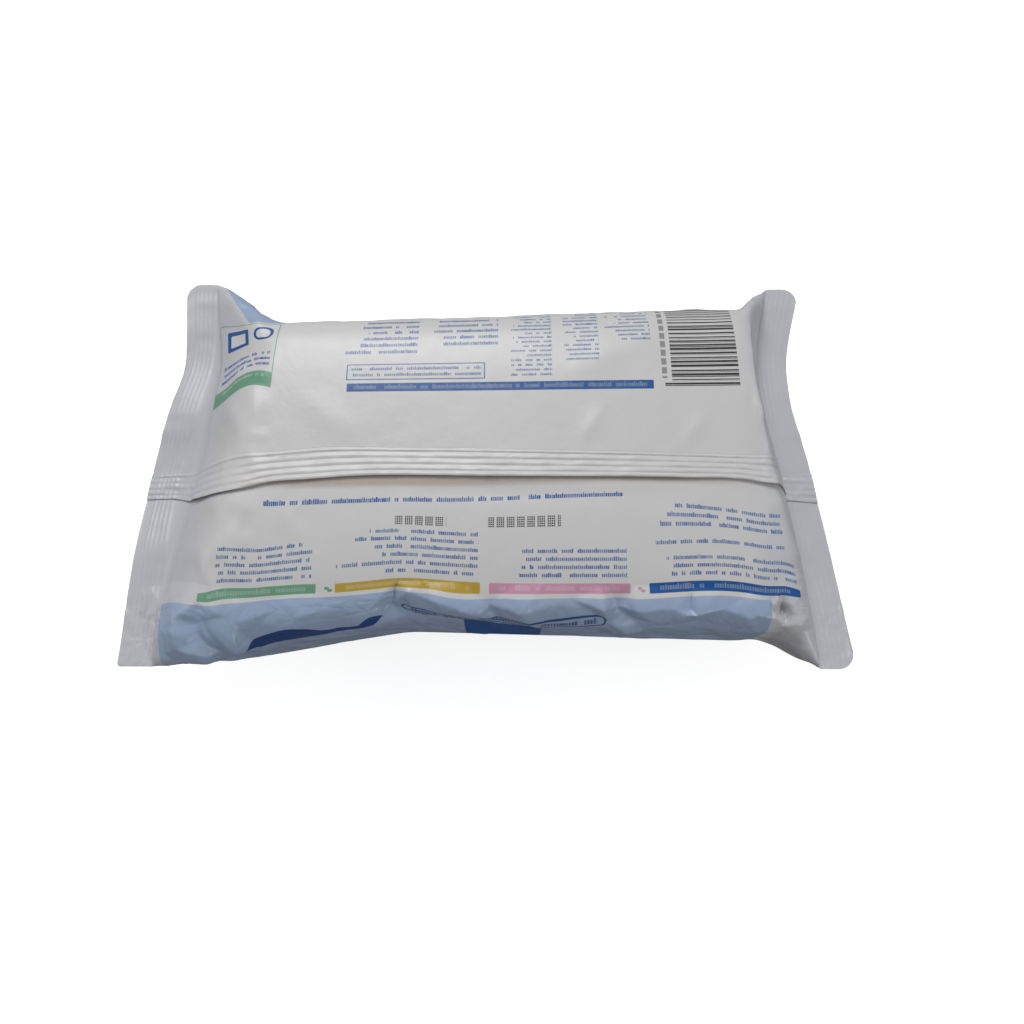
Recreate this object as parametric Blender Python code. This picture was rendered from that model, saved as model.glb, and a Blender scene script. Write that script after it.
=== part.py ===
"""Flow-wrapped pack of wet wipes with a flip-top lid, lying face down on its lid.

Metres, +X along the pack, +Y away from the near wall, +Z up, origin on the
surface below the middle of the pack.
"""

import math

import bmesh
import bpy
import numpy as np
from mathutils import Matrix, Vector

MM = 0.001

# Film wrapper
PACK_LENGTH = 216.0 * MM
FLAT_WIDTH = 132.0 * MM
BODY_WIDTH = 103.0 * MM
BODY_HEIGHT = 41.0 * MM
BODY_SHIFT_Y = -1.5 * MM
# How far the body widens towards its right end, as shares of its half width
NEAR_TAPER = 0.05
FAR_TAPER = 0.09
SEAM_THICKNESS = 0.8 * MM
TOP_ROUNDNESS = 4.3
BELLY_ROUNDNESS = 7.0
SEAL_ROUNDNESS = 1.8
RISE_POWER = 2.3
NARROWING_POWER = 1.15

# End seals
SEAL_WIDTH = 10.0 * MM
SEAL_RIBS = 5
RIB_DEPTH = 0.35 * MM
CORNER_RADIUS = 5.0 * MM
SHARP_CORNER_RADIUS = 1.0 * MM
# Rows: place across the seal from near (-1) to far (+1), how far the seal bows
# inward there, and how far it stands above the middle of the body.
LEFT_SEAL_LINE = (
    (-1.0, 0.8 * MM, 10.0 * MM),
    (-0.5, 0.2 * MM, 8.4 * MM),
    (0.0, 0.4 * MM, 4.0 * MM),
    (0.3, 2.5 * MM, 3.9 * MM),
    (0.5, 4.2 * MM, 2.3 * MM),
    (1.0, 2.7 * MM, 3.4 * MM),
)
RIGHT_SEAL_LINE = (
    (-1.0, 0.2 * MM, 10.0 * MM),
    (-0.5, 1.6 * MM, 5.5 * MM),
    (0.0, 4.7 * MM, 4.5 * MM),
    (0.4, 8.1 * MM, 3.4 * MM),
    (0.65, 6.8 * MM, 2.0 * MM),
    (1.0, 1.5 * MM, 2.1 * MM),
)
# Rows: place across the pack, the length over which the body rises there, and how
# late it rises: 1 is steep beside the seal, more is closer to a straight slope.
LEFT_SLOPE = (
    (-1.0, 29.0 * MM, 1.0),
    (-0.6, 31.0 * MM, 2.0),
    (0.0, 32.0 * MM, 2.8),
    (0.6, 32.0 * MM, 1.8),
    (1.0, 31.0 * MM, 1.0),
)
RIGHT_SLOPE = (
    (-1.0, 17.0 * MM, 1.0),
    (-0.6, 15.0 * MM, 1.4),
    (0.0, 15.5 * MM, 1.9),
    (0.6, 16.5 * MM, 1.3),
    (1.0, 18.5 * MM, 1.0),
)
# How far from each seal the film narrows to the body's width
NARROWING_NEAR_LEFT = 74.0 * MM
NARROWING_FAR_LEFT = 27.5 * MM
NARROWING_NEAR_RIGHT = 12.5 * MM
NARROWING_FAR_RIGHT = 14.0 * MM

# Back seam, folded over towards the near wall
SEAM_ROOT = -0.02
SEAM_WIDTH = 9.2 * MM
SEAM_END_WIDTH = 11.5 * MM
SEAM_GAP = 0.35 * MM
SEAM_LIFT = 0.8 * MM
SEAM_RIBS = 4
SEAM_RIB_DEPTH = 0.25 * MM

# Soft creases in the film, as rows of x, place across, x, place across, width, height.
# The far side of the wrapper is place +1, the near side is place -1. The creases fade
# out over the last stretch before the wrapper's sides, and towards their own ends.
CREASE_MARGIN = 0.1
CREASE_END = 0.15
TOP_CREASES = (
    (-96 * MM, 0.90, -66 * MM, 0.60, 5.0 * MM, 2.2 * MM),
    (-92 * MM, 0.55, -60 * MM, 0.35, 6.0 * MM, -1.2 * MM),
    (96 * MM, 0.92, 76 * MM, 0.66, 4.5 * MM, 2.0 * MM),
    (-86 * MM, -0.10, -74 * MM, -0.62, 4.0 * MM, 1.0 * MM),
    (-92 * MM, -0.66, -62 * MM, -0.86, 5.0 * MM, 1.6 * MM),
    (-26 * MM, -0.84, -6 * MM, -0.74, 5.5 * MM, 1.8 * MM),
    (4 * MM, -0.84, 34 * MM, -0.80, 5.0 * MM, -1.6 * MM),
    (44 * MM, -0.86, 78 * MM, -0.76, 5.5 * MM, 1.3 * MM),
    (82 * MM, -0.70, 90 * MM, -0.20, 4.5 * MM, 1.0 * MM),
    (30 * MM, 0.60, 60 * MM, 0.20, 6.0 * MM, 0.8 * MM),
)

# Lid, between the wrapper's front and the surface
LID_LENGTH = 112.0 * MM
LID_WIDTH = 63.0 * MM
LID_CORNER = 15.0 * MM
LID_HEIGHT = 8.7 * MM
COVER_WALL = 1.4 * MM
COVER_EDGE = 2.4 * MM
FLANGE_LENGTH = 119.0 * MM
FLANGE_WIDTH = 71.0 * MM
FLANGE_CORNER = 18.0 * MM
FLANGE_THICKNESS = 1.4 * MM
OPENING_LENGTH = 74.0 * MM
OPENING_WIDTH = 36.0 * MM
OPENING_CORNER = 15.0 * MM
COLLAR_WALL = 1.5 * MM
COLLAR_CLEARANCE = 0.8 * MM
GAP = 0.3 * MM
TAB_WIDTH = 26.0 * MM
TAB_REACH = 5.0 * MM
TAB_THICKNESS = 1.6 * MM
TAB_CORNER = 3.0 * MM
TAB_HEIGHT = 2.6 * MM
HINGE_OFFSET = 1.0 * MM
HINGE_STRIP_LENGTH = 44.0 * MM
HINGE_STRIP_THICKNESS = 0.3 * MM

# Fineness of the meshes
ACROSS_COUNT = 29
SEAM_COUNT = 2 * SEAM_RIBS + 1
SLOPE_RINGS = 7
BODY_RINGS = 18
CORNER_SEGMENTS = 8
EDGE_SEGMENTS = 3
# The points across crowd towards the wrapper's sides, where it curves most.
CROWDING_ANGLE = math.radians(72)
# The rings crowd towards the seals, where the body rises fastest.
RING_CROWDING = 1.3
SECTION_STEPS = 129
FULLNESS_STEPS = 33

HALF_SEAM = SEAM_THICKNESS / 2
BODY_MIDDLE = LID_HEIGHT + BODY_HEIGHT / 2
FLANGE_TOP = LID_HEIGHT - GAP
FLANGE_BOTTOM = FLANGE_TOP - FLANGE_THICKNESS
COVER_TOP = FLANGE_BOTTOM - GAP
HINGE_Y = BODY_SHIFT_Y + LID_WIDTH / 2 + HINGE_OFFSET
HINGE_Z = FLANGE_BOTTOM - GAP / 2


def smooth_step(value):
    value = np.clip(value, 0.0, 1.0)
    return value * value * (3.0 - 2.0 * value)


def curve_through(rows, place):
    """Smooth curve through the rows, whose first column is the place."""
    rows = np.array(rows)
    knots = rows[:, 0]
    values = rows[:, 1:]
    tangents = np.gradient(values, knots, axis=0)
    place = np.asarray(place)
    low = np.clip(np.searchsorted(knots, place, "right") - 1, 0, len(knots) - 2)
    span = knots[low + 1] - knots[low]
    s = ((place - knots[low]) / span)[..., None]
    span = span[..., None]
    return (
        (2 * s**3 - 3 * s**2 + 1) * values[low]
        + (s**3 - 2 * s**2 + s) * span * tangents[low]
        + (3 * s**2 - 2 * s**3) * values[low + 1]
        + (s**3 - s**2) * span * tangents[low + 1]
    )


def side_curve(left, left_rows, right_rows, place):
    """The left rows' curve where left is true, and the right rows' curve elsewhere."""
    return np.where(left[..., None], curve_through(left_rows, place), curve_through(right_rows, place))


def half_section(fullness, roundness):
    """One side of the wrapper's section, as points spaced evenly along its girth.

    Each point is its share of the half width and its height. Fullness is 0 where
    the film lies flat in the end seal, and 1 in the body.
    """
    rise = (1.0 - (1.0 - fullness) ** RISE_POWER) ** (1.0 / RISE_POWER)
    height = (BODY_HEIGHT / 2 - HALF_SEAM) * rise
    reach = (FLAT_WIDTH + (BODY_WIDTH - FLAT_WIDTH) * fullness) / 2
    power = 2.0 / (SEAL_ROUNDNESS + (roundness - SEAL_ROUNDNESS) * fullness)
    angle = np.linspace(0.0, math.pi, 361)
    y = -reach * np.sign(np.cos(angle)) * np.abs(np.cos(angle)) ** power
    z = height * np.sin(angle) ** power
    girth = np.concatenate([[0.0], np.cumsum(np.hypot(np.diff(y), np.diff(z)))])
    even = np.linspace(0.0, girth[-1], SECTION_STEPS)
    return np.interp(even, girth, y / reach), np.interp(even, girth, z)


def section_table(roundness):
    """Half sections for every fullness, as an array of (fullness, place, share and height)."""
    fullness = np.linspace(0.0, 1.0, FULLNESS_STEPS)
    return np.array([np.stack(half_section(f, roundness), axis=-1) for f in fullness])


def read_table(table, fullness, place):
    """The section's share and height at a fullness and a place across, between -1 and +1."""
    row = np.clip(fullness, 0.0, 1.0) * (FULLNESS_STEPS - 1)
    column = (np.clip(place, -1.0, 1.0) + 1.0) / 2.0 * (SECTION_STEPS - 1)
    row_low = np.minimum(row.astype(int), FULLNESS_STEPS - 2)
    column_low = np.minimum(column.astype(int), SECTION_STEPS - 2)
    r = (row - row_low)[..., None]
    c = (column - column_low)[..., None]
    near = table[row_low, column_low] * (1 - c) + table[row_low, column_low + 1] * c
    far = table[row_low + 1, column_low] * (1 - c) + table[row_low + 1, column_low + 1] * c
    return near * (1 - r) + far * r


def crease_height(x, place, creases):
    """Sum of the soft ridges and dips at each point of the film."""
    across = FLAT_WIDTH / 2
    total = np.zeros_like(x)
    for x0, p0, x1, p1, width, height in creases:
        dx, dy = x1 - x0, (p1 - p0) * across
        rx, ry = x - x0, (place - p0) * across
        along = np.clip((rx * dx + ry * dy) / (dx * dx + dy * dy), 0.0, 1.0)
        distance = np.hypot(rx - along * dx, ry - along * dy)
        fade = np.sin(math.pi * (CREASE_END + (1.0 - 2.0 * CREASE_END) * along))
        total += height * fade * np.exp(-((distance / width) ** 2))
    return total


def half_width(x, place, distance):
    """Half the wrapper's width, at a distance from the pack's end."""
    left, near = x < 0, place < 0
    length = np.where(
        left,
        np.where(near, NARROWING_NEAR_LEFT, NARROWING_FAR_LEFT),
        np.where(near, NARROWING_NEAR_RIGHT, NARROWING_FAR_RIGHT),
    )
    share = np.clip((distance - SEAL_WIDTH) / length, 0.0, 1.0)
    narrowing = 1.0 - (1.0 - share**NARROWING_POWER) ** NARROWING_POWER
    width = (FLAT_WIDTH + (BODY_WIDTH - FLAT_WIDTH) * narrowing) / 2
    radius = np.where(left & near, SHARP_CORNER_RADIUS, CORNER_RADIUS)
    corner = np.clip(radius - distance, 0.0, radius)
    return width - (radius - np.sqrt(radius**2 - corner**2))


def film_sheet(x, place, table, side):
    """Points of the film's upper (side +1) or lower (side -1) sheet.

    x is the distance along the pack and place the position across it, both arrays.
    """
    left = x < 0
    distance = PACK_LENGTH / 2 - np.abs(x)
    slope = side_curve(left, LEFT_SLOPE, RIGHT_SLOPE, place)
    fullness = np.clip((distance - SEAL_WIDTH) / slope[..., 0], 0.0, 1.0) ** slope[..., 1]
    section = read_table(table, fullness, place)
    widening = np.where(place < 0, NEAR_TAPER, FAR_TAPER) * smooth_step(fullness)
    taper = 1.0 + widening * x / (PACK_LENGTH / 2)
    y = section[..., 0] * half_width(x, place, distance) * taper
    y += BODY_SHIFT_Y * smooth_step(fullness)
    line = side_curve(left, LEFT_SEAL_LINE, RIGHT_SEAL_LINE, place)
    fade = 1.0 - smooth_step(fullness)
    inward = line[..., 0] * fade * np.where(left, 1.0, -1.0)
    z = BODY_MIDDLE + line[..., 1] * fade + side * (section[..., 1] + HALF_SEAM)
    seal_place = np.clip(distance / SEAL_WIDTH, 0.0, 1.0) * SEAL_RIBS
    z += RIB_DEPTH * np.sin(math.pi * seal_place) ** 2 * (distance < SEAL_WIDTH)
    return np.stack([x + inward, y, z], axis=-1)


def upper_sheet(x, place, table):
    """Points of the film's upper sheet with its soft creases."""
    points = film_sheet(x, place, table, 1.0)
    margin = smooth_step((1.0 - np.abs(place)) / CREASE_MARGIN)
    points[..., 2] += crease_height(x, place, TOP_CREASES) * margin
    return points


def ring_stations():
    """Places along the pack where a ring of points goes round the film."""
    seal = np.linspace(0.0, SEAL_WIDTH, 2 * SEAL_RIBS + 1)
    steps = np.linspace(0.0, 1.0, SLOPE_RINGS + 1)[1:] ** RING_CROWDING
    left = np.concatenate([seal, SEAL_WIDTH + LEFT_SLOPE[-1][1] * steps]) - PACK_LENGTH / 2
    right = PACK_LENGTH / 2 - np.concatenate([seal, SEAL_WIDTH + RIGHT_SLOPE[-1][1] * steps])
    body = np.linspace(left[-1], right[-1], BODY_RINGS + 2)[1:-1]
    return np.concatenate([left, body, right[::-1]])


def seam_strip(x, root_y, root_z, sheet_y, sheet_z):
    """Lower and upper points of the folded back seam at one ring, from root to free edge."""
    reach = np.linspace(0.0, 1.0, SEAM_COUNT)
    body = smooth_step((PACK_LENGTH / 2 - SEAL_WIDTH - abs(x)) / RIGHT_SLOPE[2][1])
    width = SEAM_END_WIDTH + (SEAM_WIDTH - SEAM_END_WIDTH) * body
    y = root_y - reach * width
    under = np.interp(y, sheet_y, sheet_z)
    ribs = SEAM_RIB_DEPTH * (1.0 - np.cos(math.pi * np.arange(SEAM_COUNT))) / 2
    lift = SEAM_LIFT * body * reach**2
    lower_z = under + SEAM_GAP + lift + ribs
    lower = np.stack([np.full_like(y, x), y, lower_z], axis=-1)
    upper = lower + np.array([0.0, 0.0, SEAM_THICKNESS])
    return lower, upper


def place_grids():
    """Places across the pack: those up to the back seam's root, and all of them."""
    angles = np.linspace(-CROWDING_ANGLE, CROWDING_ANGLE, ACROSS_COUNT)
    whole = np.sin(angles) / math.sin(CROWDING_ANGLE)
    seam_width = SEAM_THICKNESS / (FLAT_WIDTH / 2)
    near = whole[whole < SEAM_ROOT - seam_width]
    far = whole[whole > SEAM_ROOT + 2 * seam_width]
    near = np.append(near, SEAM_ROOT)
    far = np.insert(far, 0, SEAM_ROOT + seam_width)
    return near, np.concatenate([near, far])


def ring_points(x, tables):
    """The closed outline of the wrapper and its back seam at one place along the pack."""
    near, whole = place_grids()
    along = np.full_like(whole, x)
    upper = upper_sheet(along, whole, tables[0])
    lower = film_sheet(along, whole, tables[1], -1.0)
    upper_near, upper_far = upper[: len(near)], upper[len(near):]
    root = upper_near[-1]
    strip_low, strip_high = seam_strip(x, root[1], root[2], upper_near[:, 1], upper_near[:, 2])
    strip_low[:, 0] = root[0]
    strip_high[:, 0] = root[0]
    return np.concatenate([lower[::-1], upper_near, strip_low, strip_high[::-1], upper_far])


def close_end(mesh, ring, flip):
    """Cap the wrapper's end with strips between its two sheets and within the seam."""
    near, whole = place_grids()
    count = len(whole)
    lower = ring[:count][::-1]
    upper_near = ring[count:count + len(near)]
    start = count + len(near)
    strip_low = ring[start:start + SEAM_COUNT]
    strip_high = ring[start + SEAM_COUNT:start + 2 * SEAM_COUNT][::-1]
    upper = list(upper_near) + list(ring[start + 2 * SEAM_COUNT:])
    quads = [(lower[i], lower[i + 1], upper[i + 1], upper[i]) for i in range(count - 1)]
    quads += [
        (strip_low[i + 1], strip_low[i], strip_high[i], strip_high[i + 1])
        for i in range(SEAM_COUNT - 1)
    ]
    root = len(near) - 1
    quads.append((upper[root], upper[root + 1], strip_high[0], strip_low[0]))
    for quad in quads:
        mesh.faces.new(quad if flip else quad[::-1])


def make_pack():
    """The sealed wrapper full of wipes, as one loft from end seal to end seal."""
    tables = section_table(TOP_ROUNDNESS), section_table(BELLY_ROUNDNESS)
    mesh = bmesh.new()
    rings = []
    for x in ring_stations():
        rings.append([mesh.verts.new(point) for point in ring_points(x, tables)])
    for left, right in zip(rings, rings[1:]):
        for i in range(len(left)):
            j = (i + 1) % len(left)
            mesh.faces.new((left[i], left[j], right[j], right[i]))
    close_end(mesh, rings[0], False)
    close_end(mesh, rings[-1], True)
    bmesh.ops.recalc_face_normals(mesh, faces=mesh.faces)
    return finish_mesh("pack", mesh, math.radians(50))


def finish_mesh(name, mesh, sharp_angle):
    """A smooth-shaded object made from the mesh, with its sharp edges marked."""
    data = bpy.data.meshes.new(name)
    mesh.to_mesh(data)
    mesh.free()
    data.shade_smooth()
    data.set_sharp_from_angle(angle=sharp_angle)
    return bpy.data.objects.new(name, data)


def rounded_block(name, length, width, corner, bottom, top, y_centre, edge=0.0):
    """A plate with rounded corners, and with its lower edge bevelled if asked."""
    mesh = bmesh.new()
    bmesh.ops.create_cube(mesh, size=1.0)
    bmesh.ops.scale(mesh, vec=(length, width, top - bottom), verts=mesh.verts)
    upright = [e for e in mesh.edges if abs(e.verts[0].co.z - e.verts[1].co.z) > (top - bottom) / 2]
    bmesh.ops.bevel(
        mesh, geom=upright, offset=corner, segments=CORNER_SEGMENTS, profile=0.5, affect="EDGES"
    )
    if edge:
        low = [e for e in mesh.edges if all(v.co.z < 0 for v in e.verts)]
        bmesh.ops.bevel(mesh, geom=low, offset=edge, segments=EDGE_SEGMENTS, profile=0.5, affect="EDGES")
    bmesh.ops.translate(mesh, vec=(0.0, y_centre, (bottom + top) / 2), verts=mesh.verts)
    return finish_mesh(name, mesh, math.radians(35))


def combine(target, tool, operation):
    """Join or cut one object with another and keep the tool as a hidden guide."""
    modifier = target.modifiers.new(operation.title(), "BOOLEAN")
    modifier.operation = operation
    modifier.solver = "EXACT"
    modifier.object = tool
    tool.hide_render = True
    tool.display_type = "WIRE"
    return tool


def make_lid_frame():
    """Flange stuck to the film, with a collar round the opening for the wipes."""
    frame = rounded_block(
        "lid_frame", FLANGE_LENGTH, FLANGE_WIDTH, FLANGE_CORNER, FLANGE_BOTTOM, FLANGE_TOP, BODY_SHIFT_Y
    )
    collar_bottom = COVER_WALL + COLLAR_CLEARANCE
    collar = rounded_block(
        "collar",
        OPENING_LENGTH + 2 * COLLAR_WALL,
        OPENING_WIDTH + 2 * COLLAR_WALL,
        OPENING_CORNER + COLLAR_WALL,
        collar_bottom,
        FLANGE_BOTTOM + FLANGE_THICKNESS / 2,
        BODY_SHIFT_Y,
    )
    opening = rounded_block(
        "opening",
        OPENING_LENGTH,
        OPENING_WIDTH,
        OPENING_CORNER,
        collar_bottom - FLANGE_THICKNESS,
        FLANGE_TOP + FLANGE_THICKNESS,
        BODY_SHIFT_Y,
    )
    return frame, [combine(frame, collar, "UNION"), combine(frame, opening, "DIFFERENCE")]


def make_lid_cover():
    """Shallow cover with a finger tab in front and a hinge strip at the back."""
    cover = rounded_block(
        "lid_cover", LID_LENGTH, LID_WIDTH, LID_CORNER, 0.0, COVER_TOP, BODY_SHIFT_Y, COVER_EDGE
    )
    hollow = rounded_block(
        "hollow",
        LID_LENGTH - 2 * COVER_WALL,
        LID_WIDTH - 2 * COVER_WALL,
        LID_CORNER - COVER_WALL,
        COVER_WALL,
        COVER_TOP + COVER_WALL,
        BODY_SHIFT_Y,
        COVER_EDGE - COVER_WALL,
    )
    front = BODY_SHIFT_Y - LID_WIDTH / 2
    tab = rounded_block(
        "tab",
        TAB_WIDTH,
        2 * TAB_REACH,
        TAB_CORNER,
        TAB_HEIGHT,
        TAB_HEIGHT + TAB_THICKNESS,
        front,
    )
    back = BODY_SHIFT_Y + LID_WIDTH / 2
    strip = rounded_block(
        "hinge_strip",
        HINGE_STRIP_LENGTH,
        2 * HINGE_OFFSET,
        HINGE_OFFSET / 2,
        COVER_TOP - HINGE_STRIP_THICKNESS,
        COVER_TOP,
        back,
    )
    tools = [
        combine(cover, tab, "UNION"),
        combine(cover, strip, "UNION"),
        combine(cover, hollow, "DIFFERENCE"),
    ]
    return cover, tools


def make_material(name, colour, roughness):
    material = bpy.data.materials.new(name)
    material.use_nodes = True
    shader = material.node_tree.nodes["Principled BSDF"]
    shader.inputs["Base Color"].default_value = (*colour, 1.0)
    shader.inputs["Roughness"].default_value = roughness
    shader.inputs["Metallic"].default_value = 0.0
    return material


def set_origin(piece, point):
    """Move a piece's origin to a point without moving its shape."""
    piece.data.transform(Matrix.Translation(-point))
    piece.location = point


def clear_scene():
    for item in list(bpy.data.objects):
        bpy.data.objects.remove(item, do_unlink=True)


def new_collection(name):
    collection = bpy.data.collections.new(name)
    bpy.context.scene.collection.children.link(collection)
    return collection


def main():
    clear_scene()
    parts = new_collection("wet_wipes_pack")
    guides = new_collection("guides")
    film = make_material("printed_film", (0.80, 0.82, 0.86), 0.35)
    lid_plastic = make_material("lid_plastic", (0.86, 0.87, 0.88), 0.30)
    pack = make_pack()
    pack.data.materials.append(film)
    frame, frame_tools = make_lid_frame()
    cover, cover_tools = make_lid_cover()
    set_origin(cover, Vector((0.0, HINGE_Y, HINGE_Z)))
    for piece in (frame, cover):
        piece.data.materials.append(lid_plastic)
    for piece in (pack, frame, cover):
        parts.objects.link(piece)
    for tool in frame_tools + cover_tools:
        guides.objects.link(tool)


main()
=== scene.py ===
"""Looks of the wet wipes pack: wrinkled printed film, ribbed seals, back seam and lid."""

import math

import bmesh
import bpy
import numpy as np
from mathutils import Matrix, Vector
from mathutils.geometry import delaunay_2d_cdt


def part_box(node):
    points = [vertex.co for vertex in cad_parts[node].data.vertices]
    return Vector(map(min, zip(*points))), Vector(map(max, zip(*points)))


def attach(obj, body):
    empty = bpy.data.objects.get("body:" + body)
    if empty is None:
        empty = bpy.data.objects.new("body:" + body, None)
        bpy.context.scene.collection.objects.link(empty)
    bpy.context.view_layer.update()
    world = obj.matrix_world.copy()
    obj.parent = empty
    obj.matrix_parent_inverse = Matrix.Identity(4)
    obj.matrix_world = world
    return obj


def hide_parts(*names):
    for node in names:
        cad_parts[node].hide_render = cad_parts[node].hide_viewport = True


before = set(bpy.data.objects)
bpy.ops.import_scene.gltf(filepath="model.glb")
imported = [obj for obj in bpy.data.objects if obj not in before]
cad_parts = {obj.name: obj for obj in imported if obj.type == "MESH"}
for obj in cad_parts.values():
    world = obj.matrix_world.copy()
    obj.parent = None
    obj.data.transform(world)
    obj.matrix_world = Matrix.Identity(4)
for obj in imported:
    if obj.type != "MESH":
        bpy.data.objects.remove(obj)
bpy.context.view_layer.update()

MM = 0.001
COVER_LOW, COVER_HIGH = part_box("lid_cover")
PACK_LOW, PACK_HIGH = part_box("pack")

# Film wrapper, the same form as the frame's pack node
PACK_LENGTH = 216.0 * MM
FLAT_WIDTH = 132.0 * MM
BODY_WIDTH = 103.0 * MM
BODY_HEIGHT = 41.0 * MM
BODY_SHIFT_Y = -1.5 * MM
# How far the body widens towards its right end, as shares of its half width
NEAR_TAPER = 0.05
FAR_TAPER = 0.09
TOP_ROUNDNESS = 4.3
BELLY_ROUNDNESS = 7.0
SEAL_ROUNDNESS = 1.8
RISE_POWER = 2.3
NARROWING_POWER = 1.15
SEAL_WIDTH = 10.0 * MM
CORNER_RADIUS = 5.0 * MM
SHARP_CORNER_RADIUS = 1.0 * MM
# Rows: place across, from -1 at the near edge to +1 at the far one, and in millimetres
# how far in the seal is drawn and how far up it lies
LEFT_SEAL_LINE = (
    (-1.0, 0.8, 10.0), (-0.5, 0.2, 8.4), (0.0, 0.4, 4.0),
    (0.3, 2.5, 3.9), (0.5, 4.2, 2.3), (1.0, 2.7, 3.4),
)
RIGHT_SEAL_LINE = (
    (-1.0, 0.2, 10.0), (-0.5, 1.6, 5.5), (0.0, 4.7, 4.5),
    (0.4, 8.1, 3.4), (0.65, 6.8, 2.0), (1.0, 1.5, 2.1),
)
# Rows: place across, the millimetres over which the body rises, and how late it rises
LEFT_SLOPE = (
    (-1.0, 29.0, 1.0), (-0.6, 31.0, 2.0), (0.0, 32.0, 2.8),
    (0.6, 32.0, 1.8), (1.0, 31.0, 1.0),
)
RIGHT_SLOPE = (
    (-1.0, 17.0, 1.0), (-0.6, 15.0, 1.4), (0.0, 15.5, 1.9),
    (0.6, 16.5, 1.3), (1.0, 18.5, 1.0),
)
# The length over which the body narrows, on the near and far side of the left end, then
# of the right end
NARROWING = np.array(((74.0, 27.5), (12.5, 14.0))) * MM
BODY_MIDDLE = PACK_LOW.z + BODY_HEIGHT / 2
SHEET_OFFSET = 0.25 * MM

# Fineness of the film
SEAL_COLUMNS = 36
BODY_COLUMNS = 260
SHEET_ROWS = 141
ROW_SHARES = (0.0, 0.42, 0.84, 1.0)
ROW_PLACES = (-1.0, -0.60, 0.72, 1.0)
SECTION_STEPS = 257
FULLNESS_STEPS = 49
OUTLINE_STEPS = 721


def smooth_step(value):
    value = np.clip(value, 0.0, 1.0)
    return value * value * (3.0 - 2.0 * value)


def curve_through(rows, place):
    """Smooth curve through the rows, whose first column is the place."""
    rows = np.array(rows, dtype=float)
    knots = rows[:, 0]
    values = rows[:, 1:]
    tangents = np.gradient(values, knots, axis=0)
    place = np.clip(np.asarray(place), knots[0], knots[-1])
    low = np.clip(np.searchsorted(knots, place, "right") - 1, 0, len(knots) - 2)
    span = knots[low + 1] - knots[low]
    s = ((place - knots[low]) / span)[..., None]
    span = span[..., None]
    return (
        (2 * s**3 - 3 * s**2 + 1) * values[low]
        + (s**3 - 2 * s**2 + s) * span * tangents[low]
        + (3 * s**2 - 2 * s**3) * values[low + 1]
        + (s**3 - s**2) * span * tangents[low + 1]
    )


def side_curve(left, left_rows, right_rows, place):
    """The left rows' curve where left is true, and the right rows' curve elsewhere."""
    return np.where(left[..., None], curve_through(left_rows, place), curve_through(right_rows, place))


def half_section(fullness, roundness):
    """One side of the wrapper's section, as points spaced evenly along its girth."""
    rise = (1.0 - (1.0 - fullness) ** RISE_POWER) ** (1.0 / RISE_POWER)
    height = (BODY_HEIGHT / 2 - SHEET_OFFSET) * rise
    reach = (FLAT_WIDTH + (BODY_WIDTH - FLAT_WIDTH) * fullness) / 2
    power = 2.0 / (SEAL_ROUNDNESS + (roundness - SEAL_ROUNDNESS) * fullness)
    angle = np.linspace(0.0, math.pi, OUTLINE_STEPS)
    y = -reach * np.sign(np.cos(angle)) * np.abs(np.cos(angle)) ** power
    z = height * np.abs(np.sin(angle)) ** power
    girth = np.concatenate([[0.0], np.cumsum(np.hypot(np.diff(y), np.diff(z)))])
    even = np.linspace(0.0, girth[-1], SECTION_STEPS)
    return np.interp(even, girth, y / reach), np.interp(even, girth, z)


def section_table(roundness):
    """Half sections for every fullness, as an array of (fullness, place, share and height)."""
    fullness = np.linspace(0.0, 1.0, FULLNESS_STEPS)
    return np.array([np.stack(half_section(f, roundness), axis=-1) for f in fullness])


def read_table(table, fullness, place):
    """The section's share and height at a fullness and a place across, between -1 and +1."""
    row = np.clip(fullness, 0.0, 1.0) * (FULLNESS_STEPS - 1)
    column = (np.clip(place, -1.0, 1.0) + 1.0) / 2.0 * (SECTION_STEPS - 1)
    row_low = np.minimum(row.astype(int), FULLNESS_STEPS - 2)
    column_low = np.minimum(column.astype(int), SECTION_STEPS - 2)
    r = (row - row_low)[..., None]
    c = (column - column_low)[..., None]
    near = table[row_low, column_low] * (1 - c) + table[row_low, column_low + 1] * c
    far = table[row_low + 1, column_low] * (1 - c) + table[row_low + 1, column_low + 1] * c
    return near * (1 - r) + far * r


def half_width(x, place, distance):
    """Half the wrapper's width, at a distance from the pack's end."""
    right, far = x >= 0, place >= 0
    length = NARROWING[right.astype(int), far.astype(int)]
    share = np.clip((distance - SEAL_WIDTH) / length, 0.0, 1.0)
    narrowing = 1.0 - (1.0 - share**NARROWING_POWER) ** NARROWING_POWER
    width = (FLAT_WIDTH + (BODY_WIDTH - FLAT_WIDTH) * narrowing) / 2
    radius = np.where(right | far, CORNER_RADIUS, SHARP_CORNER_RADIUS)
    corner = np.clip(radius - distance, 0.0, radius)
    return width - (radius - np.sqrt(radius**2 - corner**2))


def fullness_at(x, place):
    """How full the wrapper is there: 0 in the seals, 1 in the body."""
    distance = PACK_LENGTH / 2 - np.abs(x)
    slope = side_curve(x < 0, LEFT_SLOPE, RIGHT_SLOPE, place)
    return np.clip((distance - SEAL_WIDTH) / (slope[..., 0] * MM), 0.0, 1.0) ** slope[..., 1]


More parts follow.
